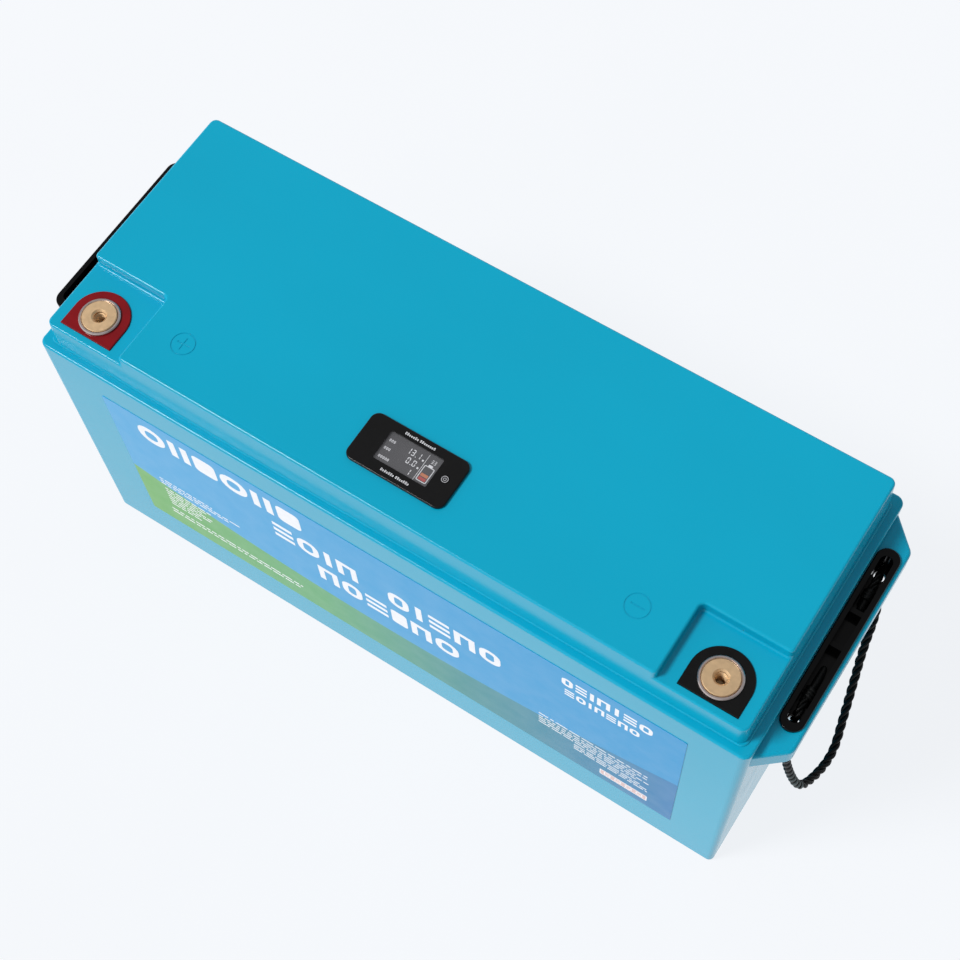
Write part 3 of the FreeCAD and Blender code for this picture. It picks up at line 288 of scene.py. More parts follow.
def label_print_film():
    """The label's film: a blue field over a green to blue band with a curved top edge."""
    material, tree, shader = new_material("label_film", IOR=1.33)
    split = node(tree, "ShaderNodeSeparateXYZ")
    tree.links.new(place_node(tree), split.inputs["Vector"])

    def maths(operation, *values):
        made = node(tree, "ShaderNodeMath", operation=operation)
        for i, value in enumerate(values):
            if isinstance(value, float):
                made.inputs[i].default_value = value
            else:
                tree.links.new(value, made.inputs[i])
        return made.outputs["Value"]

    x = split.outputs["X"]
    z = split.outputs["Z"]
    low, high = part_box("front_label")
    along = maths("DIVIDE", maths("SUBTRACT", x, low.x), high.x - low.x)
    from_low = maths("SUBTRACT", x, BAND_LOW_X)
    edge = maths("MULTIPLY_ADD", maths("MULTIPLY", from_low, from_low), BAND_CURVE, BAND_LOW_Z)
    above = maths("GREATER_THAN", z, edge)
    field = ramp(tree, along, [(0.0, (0.060, 0.375, 0.690)), (1.0, (0.016, 0.300, 0.610))])
    band = ramp(tree, along, [
        (0.0, (0.150, 0.420, 0.110)),
        (0.35, (0.115, 0.385, 0.155)),
        (0.62, (0.042, 0.265, 0.270)),
        (1.0, (0.018, 0.190, 0.440)),
    ])
    mix = node(tree, "ShaderNodeMix", data_type="RGBA")
    tree.links.new(above, mix.inputs["Factor"])
    tree.links.new(band, mix.inputs["A"])
    tree.links.new(field, mix.inputs["B"])
    tree.links.new(mix.outputs["Result"], shader.inputs["Base Color"])
    tree.links.new(spread(tree, noise(tree, 70.0, 4), 0.30, 0.40), shader.inputs["Roughness"])
    add_bump(tree, shader, noise(tree, 240.0, 3), 0.05, 0.00003)
    return material


def turned_metal(name, colour, rough, metallic=1.0):
    """Metal turned on a lathe: fine rings round each terminal's own axis."""
    material, tree, shader = new_material(name, metallic=metallic)
    split = node(tree, "ShaderNodeSeparateXYZ")
    tree.links.new(place_node(tree), split.inputs["Vector"])
    centre = (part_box("terminal_bushing_negative")[0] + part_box("terminal_bushing_negative")[1]) / 2
    across = node(tree, "ShaderNodeMath", operation="ABSOLUTE")
    tree.links.new(split.outputs["X"], across.inputs[0])
    join = node(tree, "ShaderNodeCombineXYZ")
    for source, offset, target in (
        (across.outputs["Value"], centre.x, "X"),
        (split.outputs["Y"], centre.y, "Y"),
    ):
        less = node(tree, "ShaderNodeMath", operation="SUBTRACT")
        less.inputs[1].default_value = offset
        tree.links.new(source, less.inputs[0])
        tree.links.new(less.outputs["Value"], join.inputs[target])
    rings = node(tree, "ShaderNodeTexWave", wave_type="RINGS", rings_direction="SPHERICAL")
    rings.inputs["Scale"].default_value = 520.0
    rings.inputs["Distortion"].default_value = 0.6
    rings.inputs["Detail"].default_value = 2.0
    tree.links.new(join.outputs["Vector"], rings.inputs["Vector"])
    stops = [(0.3, shade(colour, 0.90)), (0.7, shade(colour, 1.06))]
    tree.links.new(ramp(tree, noise(tree, 260.0, 5), stops), shader.inputs["Base Color"])
    tree.links.new(spread(tree, noise(tree, 400.0, 4), *rough), shader.inputs["Roughness"])
    add_bump(tree, shader, rings.outputs["Fac"], 0.18, 0.00002)
    return material


def cell_film():
    return mottled("cell_film", (0.02, 0.12, 0.42), (0.25, 0.35), scale=25, contrast=0.08)


def circuit_green():
    """Solder mask with a faint pattern of copper tracks below it."""
    material, tree, shader = new_material("circuit_green", roughness=0.35)
    tracks = node(tree, "ShaderNodeTexBrick")
    tracks.inputs["Scale"].default_value = 60.0
    tracks.inputs["Mortar Size"].default_value = 0.03
    tracks.inputs["Color1"].default_value = (0.010, 0.110, 0.035, 1)
    tracks.inputs["Color2"].default_value = (0.013, 0.130, 0.042, 1)
    tracks.inputs["Mortar"].default_value = (0.040, 0.190, 0.070, 1)
    tree.links.new(place_node(tree), tracks.inputs["Vector"])
    tree.links.new(tracks.outputs["Color"], shader.inputs["Base Color"])
    add_bump(tree, shader, tracks.outputs["Fac"], 0.2, 0.00003)
    return material


def clear_window():
    material, tree, shader = new_material("clear_window", roughness=0.06, Alpha=0.10, IOR=1.49)
    stops = [(0.3, (0.30, 0.30, 0.32)), (0.7, (0.36, 0.36, 0.38))]
    tree.links.new(ramp(tree, noise(tree, 90.0), stops), shader.inputs["Base Color"])
    add_bump(tree, shader, noise(tree, 60.0, 2), 0.02, 0.00002)
    return material


# The height below which the wound cord is paler, and the size of the button's printed rings.
PALE_CORD_BELOW = 0.138
BUTTON_RADIUS = 2.4 * MM


def rope_fibre():
    """Black twisted polypropylene: fine fibres that catch the light along each strand."""
    material, tree, shader = new_material("rope_fibre", IOR=1.30)
    fibres = noise(tree, 1400.0, 4, (1.0, 1.0, 0.35))
    stops = [(0.30, (0.001, 0.001, 0.001)), (0.72, (0.009, 0.010, 0.010))]
    tree.links.new(ramp(tree, fibres, stops), shader.inputs["Base Color"])
    tree.links.new(spread(tree, noise(tree, 500.0), 0.38, 0.58), shader.inputs["Roughness"])
    add_bump(tree, shader, fibres, 0.55, 0.00012)
    return material


def whipping_cord():
    """Waxed black cord, a paler grey-green below a given height, where the handle bends."""
    material, tree, shader = new_material("whipping_cord", IOR=1.45)
    split = node(tree, "ShaderNodeSeparateXYZ")
    tree.links.new(place_node(tree), split.inputs["Vector"])
    # Below the given height the colour turns to a paler grey-green.
    pale_factor = node(tree, "ShaderNodeMapRange")
    pale_factor.inputs["From Min"].default_value = PALE_CORD_BELOW + 0.010
    pale_factor.inputs["From Max"].default_value = PALE_CORD_BELOW
    tree.links.new(split.outputs["Z"], pale_factor.inputs["Value"])
    fibres = noise(tree, 1500.0, 4)
    dark = ramp(tree, fibres, [(0.3, (0.010, 0.011, 0.011)), (0.7, (0.050, 0.053, 0.053))])
    pale = ramp(tree, fibres, [(0.3, (0.020, 0.032, 0.032)), (0.7, (0.090, 0.130, 0.130))])
    mix = node(tree, "ShaderNodeMix", data_type="RGBA")
    tree.links.new(pale_factor.outputs["Result"], mix.inputs["Factor"])
    tree.links.new(dark, mix.inputs["A"])
    tree.links.new(pale, mix.inputs["B"])
    tree.links.new(mix.outputs["Result"], shader.inputs["Base Color"])
    tree.links.new(spread(tree, noise(tree, 500.0), 0.28, 0.42), shader.inputs["Roughness"])
    add_bump(tree, shader, fibres, 0.3, 0.00008)
    return material


def button_face():
    """The display's black plastic with two fine rings printed round the button's axis."""
    material, tree, shader = new_material("button_face", IOR=1.34)
    low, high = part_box("display_button")
    flat = node(tree, "ShaderNodeVectorMath", operation="MULTIPLY")
    flat.inputs[1].default_value = (1, 1, 0)
    tree.links.new(place_node(tree), flat.inputs[0])
    apart = node(tree, "ShaderNodeVectorMath", operation="DISTANCE")
    apart.inputs[1].default_value = ((low.x + high.x) / 2, (low.y + high.y) / 2, 0)
    tree.links.new(flat.outputs["Vector"], apart.inputs[0])
    radius = node(tree, "ShaderNodeMapRange")
    radius.inputs["From Max"].default_value = BUTTON_RADIUS
    tree.links.new(apart.outputs["Value"], radius.inputs["Value"])
    black = (0.0040, 0.0040, 0.0041)
    grey = (0.42, 0.42, 0.44)
    stops = [(0.0, black), (0.24, grey), (0.38, black), (0.66, grey), (0.81, black)]
    rings = ramp(tree, radius.outputs["Result"], stops, "CONSTANT")
    tree.links.new(rings, shader.inputs["Base Color"])
    tree.links.new(spread(tree, noise(tree, 400.0), 0.20, 0.28), shader.inputs["Roughness"])
    add_bump(tree, shader, noise(tree, 2200.0), 0.03, 0.00004)
    return material


def make_materials():
    black = (0.0032, 0.0032, 0.0033)
    deep_black = (0.0012, 0.0012, 0.0014)
    return {
        "case_plastic": moulded_blue(),
        "label_film": label_print_film(),
        "red_plastic": mottled("red_plastic", (0.205, 0.0015, 0.0045), (0.18, 0.28), scale=120,
                               contrast=0.10, grain=1500, IOR=1.38),
        "black_plastic": mottled("black_plastic", black, (0.24, 0.36), scale=110, contrast=0.2,
                                 grain=1500, IOR=1.30),
        "tray_plastic": mottled("tray_plastic", deep_black, (0.12, 0.22), scale=80, contrast=0.2,
                                grain=700, bump=0.05, IOR=1.28),
        "display_plastic": mottled("display_plastic", (0.0040, 0.0040, 0.0041), (0.20, 0.28),
                                   scale=150, contrast=0.08, grain=2200, bump=0.03, IOR=1.34),
        "black_rubber": mottled("black_rubber", (0.018, 0.018, 0.018), (0.6, 0.8), grain=1200,
                                bump=0.2),
        "collar_metal": turned_metal("collar_metal", (0.62, 0.54, 0.52), (0.26, 0.38)),
        "terminal_brass": turned_metal("terminal_brass", (0.78, 0.55, 0.32), (0.42, 0.54), 0.86),
        "plated_steel": mottled("plated_steel", (0.58, 0.58, 0.60), (0.25, 0.4), 1.0, grain=1500),
        "clear_window": clear_window(),
        "lcd_panel": mottled("lcd_panel", (0.054, 0.054, 0.057), (0.3, 0.4), scale=60,
                             contrast=0.05, grain=3000, bump=0.03),
        "circuit_board": circuit_green(),
        "rope_fibre": rope_fibre(),
        "button_face": button_face(),
        "whipping_cord": whipping_cord(),
        "cell_case": cell_film(),
        "cell_post": mottled("cell_post", (0.72, 0.72, 0.74), (0.3, 0.45), 1.0, grain=1800),
        "copper": mottled("copper", (0.70, 0.35, 0.22), (0.25, 0.45), 1.0, contrast=0.12),
        "insulation_board": mottled("insulation_board", (0.55, 0.50, 0.33), (0.5, 0.65),
                                    grain=1300, bump=0.25),
        "foam": mottled("foam", (0.035, 0.035, 0.038), (0.85, 0.95), grain=700, bump=0.6,
                        depth=0.0003),
        "heat_sink": mottled("heat_sink", (0.68, 0.68, 0.70), (0.3, 0.42), 1.0,
                             stretch=(1, 1, 0.02), grain=1500),
        "socket_plastic": mottled("socket_plastic", (0.75, 0.73, 0.66), (0.4, 0.5)),
        "cable_jacket": mottled("cable_jacket", (0.02, 0.02, 0.022), (0.4, 0.55), grain=900),
        "white_print": mottled("white_print", (0.86, 0.87, 0.90), (0.34, 0.45), scale=300,
                               contrast=0.03, grain=2500, bump=0.04),
        "lcd_orange": mottled("lcd_orange", (0.60, 0.20, 0.08), (0.34, 0.45), scale=300),
        "lcd_red": mottled("lcd_red", (0.50, 0.06, 0.05), (0.34, 0.45), scale=300),
        "tag_pink": mottled("tag_pink", (0.72, 0.50, 0.48), (0.34, 0.45), scale=300),
    }


materials = make_materials()


def give(piece, name):
    piece.data.materials.clear()
    piece.data.materials.append(materials[name])


# ------------------------------------------------------------------ ropes


# The rope's route under the +X lug, repeated from the CAD source in millimetres.
ROPE_ROUTE = [
    (234.2, -47.0, 184.4),
    (234.9, -49.2, 174.0),
    (237.0, -53.6, 160.0),
    (243.2, -56.0, 143.0),
    (251.3, -55.8, 127.5),
    (255.6, -42.5, 119.5),
    (257.6, -25.0, 116.5),
    (253.2, -7.5, 121.8),
    (248.6, 10.0, 132.0),
    (243.9, 27.0, 144.0),
    (241.2, 42.0, 157.0),
    (237.4, 48.6, 171.0),
    (234.2, 47.0, 184.4),
]
ROPE_DIAMETER = 5.0 * MM
ROPE_PITCH = 17.0 * MM
WHIPPED_LENGTH = 62.0 * MM
WHIPPING_PITCH = 3.6 * MM
WHIPPING_STEP = 0.25 * MM
WHIPPING_DEPTH = 0.5 * MM
WHIPPING_SIDES = 28
WHIPPING_LAP = 4.0 * MM
GROOVE_BELOW = -0.25
STRAND_STEP = 0.7 * MM
STRAND_SIDES = 12
STRAND_SWELL = 1.05


def read_line(points):
    """Points along the smooth line that a route's points control, read from its spline."""
    curve = bpy.data.curves.new("line", "CURVE")
    curve.dimensions = "3D"
    curve.resolution_u = 24
    spline = curve.splines.new("NURBS")
    spline.points.add(len(points) - 1)
    for target, source in zip(spline.points, points):
        target.co = (*source, 1)
    spline.order_u = 3
    spline.use_endpoint_u = True
    holder = bpy.data.objects.new("line", curve)
    bpy.context.scene.collection.objects.link(holder)
    bpy.context.view_layer.update()
    mesh = bpy.data.meshes.new_from_object(holder)
    line = [v.co.copy() for v in mesh.vertices]
    bpy.data.objects.remove(holder)
    bpy.data.curves.remove(curve)
    bpy.data.meshes.remove(mesh)
    return line


def even_steps(line, step):
    """The same line with its points an even step apart."""
    lengths = [0.0]
    for a, b in zip(line, line[1:]):
        lengths.append(lengths[-1] + (b - a).length)
    count = max(2, round(lengths[-1] / step))
    even = []
    k = 0
    for i in range(count + 1):
        wanted = lengths[-1] * i / count
        while k < len(line) - 2 and lengths[k + 1] < wanted:
            k += 1
        gap = lengths[k + 1] - lengths[k]
        even.append(line[k].lerp(line[k + 1], (wanted - lengths[k]) / gap if gap else 0))
    return even, lengths[-1]


def frames_along(line):
    """A tangent and two cross axes at each point, turned as little as possible."""
    frames = []
    side = None
    for i, point in enumerate(line):
        ahead = line[min(i + 1, len(line) - 1)]
        behind = line[max(i - 1, 0)]
        tangent = (ahead - behind).normalized()
        if side is None:
            side = tangent.orthogonal().normalized()
        side = (side - tangent * side.dot(tangent)).normalized()
        frames.append((point, tangent, side, tangent.cross(side)))
    return frames


def skin_rings(mesh, rings):
    """Faces between rings of as many points, closed at both ends."""
    count = len(rings[0])
    for low, high in zip(rings, rings[1:]):
        for k in range(count):
            n = (k + 1) % count
            mesh.faces.new((low[k], low[n], high[n], high[k]))
    mesh.faces.new(list(reversed(rings[0])))
    mesh.faces.new(rings[-1])


def add_tube(mesh, rings, radii, sides):
    """A closed tube through (centre, axis, across) rings with a radius at each."""
    made = []
    for (centre, u, v), radius in zip(rings, radii):
        ring = []
        for k in range(sides):
            angle = 2 * math.pi * k / sides
            offset = u * math.cos(angle) + v * math.sin(angle)
            ring.append(mesh.verts.new(centre + offset * radius))
        made.append(ring)
    skin_rings(mesh, made)


def add_rope(mesh, line, diameter, pitch, strands=3):
    """Twisted strands round an evenly stepped line, fine at both ends."""
    strand = diameter / 2 / (1 + 1 / math.sin(math.pi / strands))
    offset = diameter / 2 - strand
    travelled = 0.0
    angles = []
    for i, point in enumerate(line):
        if i:
            travelled += (point - line[i - 1]).length
        angles.append(2 * math.pi * travelled / pitch)
    frames = frames_along(line)
    for s in range(strands):
        centres = []
        for (point, _, side, other), angle in zip(frames, angles):
            turned = angle + 2 * math.pi * s / strands
            out = side * math.cos(turned) + other * math.sin(turned)
            centres.append(point + out * offset)
        rings = [(p, u, v) for p, _, u, v in frames_along(centres)]
        radii = [strand * STRAND_SWELL] * len(rings)
        radii[0] = radii[-1] = strand * 0.75
        add_tube(mesh, rings, radii, STRAND_SIDES)


def add_whipping(mesh, line, radius):
    """Fine cord wound round the rope, turn beside turn; says which faces lie in the grooves, which
    are then painted darker as shade.
    """
    travelled = 0.0
    made = []
    waves = []
    for i, (centre, _, u, v) in enumerate(frames_along(line)):
        if i:
            travelled += (line[i] - line[i - 1]).length
        taper = 1.0 if 0 < i < len(line) - 1 else 0.8
        ring = []
        for k in range(WHIPPING_SIDES):
            angle = 2 * math.pi * k / WHIPPING_SIDES
            wave = math.cos(2 * math.pi * travelled / WHIPPING_PITCH - angle)
            waves.append(wave)
            out = u * math.cos(angle) + v * math.sin(angle)
            reach = radius * taper - WHIPPING_DEPTH * (1 - wave) / 2
            ring.append(mesh.verts.new(centre + out * reach))
        made.append(ring)
    skin_rings(mesh, made)
    return [wave < GROOVE_BELOW for wave in waves[:-WHIPPING_SIDES]] + [True, True]


def half_turned(points):
    return [(-x, -y, z) for x, y, z in points]


def make_loop(side_name, points):
    """One handle's hanging loop, which swings on the two holes of its tray."""
    route = [Vector(p) * MM for p in points]
    smooth = read_line(route)
    line, length = even_steps(smooth, STRAND_STEP)
    fine, _ = even_steps(smooth, WHIPPING_STEP)
    mesh = bmesh.new()
    wound = fine[:round(WHIPPED_LENGTH / WHIPPING_STEP)]
    grooves = add_whipping(mesh, wound, ROPE_DIAMETER / 2)
    bare = round((WHIPPED_LENGTH - WHIPPING_LAP) / STRAND_STEP)
    add_rope(mesh, line[bare:], ROPE_DIAMETER, ROPE_PITCH)
    loop = finish_mesh(f"rope_handle_{side_name}", mesh, f"rope_{side_name}", smooth=True)
    give(loop, "rope_fibre")
    loop.data.materials.append(materials["whipping_cord"])
    # Painted shade: the faces in the grooves between turns take the near-black rope material, darker
    # than the cord on the crests, which draws the winding's stripes.
    for face, in_shaded_groove in zip(loop.data.polygons, grooves):
        face.material_index = 0 if in_shaded_groove else 1
    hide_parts(f"rope_loop_{side_name}")


make_loop("right", ROPE_ROUTE)
make_loop("left", half_turned(ROPE_ROUTE))


END_DIAMETER = 4.4 * MM
END_PITCH = 14.0 * MM
END_INSET = 2.2 * MM
END_CLEARANCE = 0.3 * MM
CROWN_DROP = 1.6 * MM
KNOT_REACH = 15.0 * MM
KNOT_TURNS = 2.5
KNOT_STEPS = 60
KNOT_WIDTH = 5.0 * MM
KNOT_RADIUS = 1.9 * MM
KNOT_CORD_RADIUS = 1.45 * MM
TAIL_LONG = 16.0 * MM
TAIL_SHORT = 8.0 * MM
TAIL_DROP = 0.9 * MM
TAIL_WANDER = 0.3 * MM

# A tail's radius in millimetres at shares of its length.
TAIL_PROFILE = [
    (0.0, 1.3),
    (0.08, 1.9),
    (0.3, 2.1),
    (0.7, 2.05),
    (0.88, 1.85),
    (0.97, 1.2),
    (1.0, 0.4),
]


def make_rope_ends(side_name, side):
    """The two ends of a rope in its tray: out of the hole, a wrapped knot, a melted tail."""
    low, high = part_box(f"rope_ends_{side_name}")
    mesh = bmesh.new()
    x = (low.x + high.x) / 2
    crown = high.z - CROWN_DROP
    for end, tail in ((-side, TAIL_LONG), (side, TAIL_SHORT)):
        y = low.y if end < 0 else high.y
        y -= end * END_INSET
        inward = -end
        route = [
            Vector((x, y, low.z + END_CLEARANCE)),
            Vector((x, y, low.z + 5 * MM)),
            Vector((x, y + inward * 1.2 * MM, crown - 2.2 * MM)),
            Vector((x, y + inward * 4.2 * MM, crown)),
            Vector((x, y + inward * 8.0 * MM, crown - 0.4 * MM)),
            Vector((x, y + inward * 13.0 * MM, crown - 1.4 * MM)),
        ]
        line, _ = even_steps(read_line(route), STRAND_STEP)
        add_rope(mesh, line, END_DIAMETER, END_PITCH)
        add_knot(mesh, Vector((x, y + inward * KNOT_REACH, crown - 1.6 * MM)), inward)
        start = Vector((x, y + inward * (KNOT_REACH + 2.0 * MM), crown - 1.9 * MM))
        add_tail(mesh, start, inward, tail)
    ends = finish_mesh(f"rope_knots_{side_name}", mesh, smooth=True)
    give(ends, "rope_fibre")
    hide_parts(f"rope_ends_{side_name}")


def add_knot(mesh, centre, inward):
    """Turns of rope pulled tight round the tail."""
    wraps = []
    for i in range(KNOT_STEPS + 1):
        t = i / KNOT_STEPS
        angle = 2 * math.pi * KNOT_TURNS * t
        along = (t - 0.5) * KNOT_WIDTH * inward
        offset = Vector((KNOT_RADIUS * math.cos(angle), along, KNOT_RADIUS * math.sin(angle)))
        wraps.append(centre + offset)
    rings = [(p, u, v) for p, _, u, v in frames_along(wraps)]
    radii = [KNOT_CORD_RADIUS] * len(rings)
    radii[0] = radii[-1] = 0.9 * MM
    add_tube(mesh, rings, radii, 10)


def add_tail(mesh, start, inward, length):
    """The melted end of the rope: a smooth tapered stick with a rounded tip."""
    rings = []
    for t, _ in TAIL_PROFILE:
        centre = start + Vector((TAIL_WANDER * math.sin(3 * t), inward * length * t, -TAIL_DROP * t))
        rings.append((centre, Vector((1, 0, 0)), UP))
    add_tube(mesh, rings, [r * MM for _, r in TAIL_PROFILE], 16)


make_rope_ends("right", 1)
make_rope_ends("left", -1)


# ------------------------------------------------------------------ front label


LABEL_THICKNESS = 0.35 * MM
FILM_THICKNESS = 0.27 * MM
PRINT_LOW = -0.02 * MM
PRINT_HIGH = 0.05 * MM
LABEL_CORNER = 1.2 * MM
GLYPH_GAP = 0.15
SMALL_PRINT = 1.3 * MM
MIDDLE_PRINT = 1.43 * MM
TAG = (162.0 * MM, 50.5 * MM)
TAG_LINE = 0.8 * MM
TAG_PITCH = 7.2 * MM

# Rows of shapes on the label in millimetres: start, base, height, shapes with widths, weight.
GLYPH_ROWS = [
    (-167, 157.5, 19.5, [("o", 19), ("i", 6), ("i", 6), ("b", 16)] * 2, 5.0),
    (-76, 127, 19, [("e", 14), ("o", 15), ("i", 7), ("n", 14)], 4.2),
    (4, 127, 19, [("o", 14), ("i", 8), ("e", 14), ("n", 14), ("o", 14)], 4.2),
    (-48, 98, 19, [("n", 14), ("o", 14), ("e", 15), ("b", 11), ("n", 14), ("o", 16)], 4.2),
    (119, 165, 11, [("o", 7), ("e", 7), ("i", 3), ("n", 8), ("i", 5), ("e", 8), ("o", 8)], 2.4),
    (121, 151, 8.5, [("e", 6), ("o", 6), ("i", 3), ("n", 6), ("e", 6), ("n", 6), ("o", 6)], 1.8),
]

# Blocks of bars on the label: left, right and top in millimetres, lines, pitch in millimetres,
# height of a bar, and how far the lines' ends vary as a share of their length.
PRINT_BLOCKS = [
    (-168, -128, 102, 1, 3.4, SMALL_PRINT, 0.0),
    (-168, -106, 98.5, 2, 3.4, SMALL_PRINT, 0.2),
    (-167, -131, 88, 7, 3.6, SMALL_PRINT, 0.35),
    (-169, -67, 57, 2, 4.2, MIDDLE_PRINT, 0.08),
    (104, 178, 91, 1, 3.6, MIDDLE_PRINT, 0.0),
    (104, 178, 86.5, 4, 3.6, SMALL_PRINT, 0.12),
    (128, 178, 71, 3, 3.4, SMALL_PRINT, 0.10),
]


def label_plane():
    """The film's outer face, with its origin under X = 0 on the base's level."""
    low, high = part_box("front_label")
    height = high.z - low.z
    lean = (high.y - low.y - LABEL_THICKNESS) / height
    wall = high.y + low.z * lean
    up = Vector((0, -lean, 1)).normalized()
    return Plane((0, wall - FILM_THICKNESS, 0), (1, 0, 0), up)


def make_film(plane):
    low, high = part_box("front_label")
    mesh = bmesh.new()
    width = high.x - low.x
    height = high.z - low.z
    middle = ((low.x + high.x) / 2, (low.z + high.z) / 2)
    add_mark(mesh, plane, *middle, width, height, LABEL_CORNER, -FILM_THICKNESS, 0.0)
    film = finish_mesh("label_film", mesh)
    give(film, "label_film")
    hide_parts("front_label")


def glyph_row(mesh, plane, start, base, height, shapes, weight):
    """A row of plain abstract shapes: b block, i bar, o ring, e stripes, n arch."""
    u = start
    middle = base + height / 2
    for shape, width in shapes:
        centre = u + width / 2
        radius = 0.22 * min(width, height)

        def mark(du, dv, w, h, r=0.4 * MM, line=None):
            add_mark(mesh, plane, centre + du, middle + dv, w, h, r, PRINT_LOW, PRINT_HIGH, line)

        if shape == "b":
            mark(0, 0, width, height, radius)
        elif shape == "i":
            mark(0, 0, weight, height)
        elif shape == "o":
            mark(0, 0, width, height, 0.45 * width, line=weight)
        elif shape == "e":
            bar = height / 5
            for k in (-1, 0, 1):
                mark(0, 2 * k * bar, width, bar)
        elif shape == "n":
            mark(-(width - weight) / 2, 0, weight, height)
            mark(0, (height - weight) / 2, width - 2 * weight, weight)
            mark((width - weight) / 2, 0, weight, height)
        u += width + GLYPH_GAP * height


def text_lines(mesh, plane, left, right, top, count, pitch, height, ragged):
    """Lines of small print as runs of short bars."""
    for row in range(count):
        end = right - random.random() * ragged * (right - left)
        u = left
        v = top - row * pitch
        while u < end:
            word = min(random.uniform(1.6, 6.0) * height, end - u)
            if word > height:
                add_mark(mesh, plane, u + word / 2, v, word, height, 0.3 * height, PRINT_LOW,
                         PRINT_HIGH)
            u += word + 0.8 * height


def make_print(plane):
    """The label's white marks and bars, and a small outlined tag with a pink ground."""
    mesh = bmesh.new()
    for start, base, height, shapes, weight in GLYPH_ROWS:
        scaled = [(shape, width * MM) for shape, width in shapes]
        glyph_row(mesh, plane, start * MM, base * MM, height * MM, scaled, weight * MM)
    for left, right, top, count, pitch, height, ragged in PRINT_BLOCKS:
        text_lines(mesh, plane, left * MM, right * MM, top * MM, count, pitch * MM, height, ragged)
    add_mark(mesh, plane, *TAG, 32 * MM, 9 * MM, 1 * MM, PRINT_LOW, PRINT_HIGH, TAG_LINE)
    for k in range(4):
        u = TAG[0] + (k - 1.5) * TAG_PITCH
        add_mark(mesh, plane, u, TAG[1], 4.6 * MM, 4.6 * MM, 0.8 * MM, PRINT_LOW, PRINT_HIGH,
                 TAG_LINE)
    give(finish_mesh("label_print", mesh), "white_print")

    mesh = bmesh.new()
    add_mark(mesh, plane, *TAG, 30.4 * MM, 7.4 * MM, 0.5 * MM, PRINT_LOW, 0.01 * MM)
    give(finish_mesh("label_tag", mesh), "tag_pink")


front = label_plane()
make_film(front)
make_print(front)


# ------------------------------------------------------------------ display


MARK_LIFT = (-0.02 * MM, 0.06 * MM)
CAPTION_LIFT = (-0.02 * MM, 0.03 * MM)
FIGURE_HEIGHT = 3.7 * MM
CHARGE_HEIGHT = 2.3 * MM
CAPTION_TALL = 1.5 * MM
CAPTION_SMALL = 1.05 * MM
CAPTION_WIDTH = 0.78 * MM
CAPTION_PITCH = 1.22 * MM
CAPTION_LINE = 0.24 * MM

# The screen's three readings: height up the window, figures and the letters of its caption.
READINGS = [(0.66, "13.1", 3), (0.38, "0.0", 3), (0.08, "1", 5)]

SEGMENTS = {
    "0": "abcdef", "1": "bc", "2": "abged", "3": "abgcd", "4": "fgbc",
    "5": "afgcd", "6": "afgedc", "7": "abc", "8": "abcdefg", "9": "abcdfg",
}


def add_digit(mesh, plane, u, v, height, character):
    """A seven-segment digit whose lower left corner is (u, v); returns its width."""
    bar = height * 0.13
    width = height * 0.52
    half = height / 2
    if character == ".":
        add_mark(mesh, plane, u + bar / 2, v + bar / 2, bar, bar, bar / 4, *MARK_LIFT)
        return bar * 2
    places = {
        "a": (width / 2, height - bar / 2, width - bar, bar),
        "g": (width / 2, half, width - bar, bar),
        "d": (width / 2, bar / 2, width - bar, bar),
        "f": (bar / 2, half * 1.5, bar, half - bar),
        "b": (width - bar / 2, half * 1.5, bar, half - bar),
        "e": (bar / 2, half * 0.5, bar, half - bar),
        "c": (width - bar / 2, half * 0.5, bar, half - bar),
    }
    for name in SEGMENTS[character]:
        du, dv, w, h = places[name]
        add_mark(mesh, plane, u + du, v + dv, w, h, bar / 3, *MARK_LIFT)
    return width + bar * 1.6


def add_number(mesh, plane, right, base, height, text):
    """A number that ends at the given right edge."""
    width = 0.0
    for character in text:
        width += height * (0.26 if character == "." else 0.728)
    u = right - width
    for character in text:
        u += add_digit(mesh, plane, u, base, height, character)


def make_lcd():
    """What the display shows: three readings with their captions and a charge gauge."""
    low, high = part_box("display_window")
    lcd_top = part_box("display_lcd")[1].z
    width = high.x - low.x
    height = high.y - low.y
    plane = Plane((low.x, low.y, lcd_top), (1, 0, 0), (0, 1, 0))
    mesh = bmesh.new()

    def mark(u, v, wide, tall, radius, line=None):
        add_mark(mesh, plane, u, v, wide * MM, tall * MM, radius * MM, *MARK_LIFT, line)

    for share, text, _ in READINGS:
        add_number(mesh, plane, width * 0.665, height * share, FIGURE_HEIGHT, text)
        if "." in text:
            mark(width * 0.70, height * share + 0.6 * MM, 1.0, 1.1, 0.2)
    for share, _, letters in READINGS:
        for k in range(letters):
            u = width * 0.06 + k * 1.35 * MM
            mark(u, height * share + 1.7 * MM, 0.95, 1.5, 0.3, line=0.3 * MM)
    add_mark(mesh, plane, width * 0.745, height / 2, 0.25 * MM, height * 0.92, 0.1 * MM, *MARK_LIFT)
    gauge_u = width * 0.865
    gauge_v = height * 0.36
    mark(gauge_u, gauge_v, 6.2, 9.6, 0.8, line=0.45 * MM)
    mark(gauge_u, gauge_v + 5.4 * MM, 2.6, 1.2, 0.3)
    add_number(mesh, plane, width * 0.93, height * 0.74, CHARGE_HEIGHT, "33")
    give(finish_mesh("lcd_figures", mesh), "white_print")
    bars = (("lcd_bar_high", "lcd_orange", -0.8), ("lcd_bar_low", "lcd_red", -3.1))
    for name, material, level in bars:
        mesh = bmesh.new()
        mark(gauge_u, gauge_v + level * MM, 4.4, 1.8, 0.3)
        give(finish_mesh(name, mesh), material)


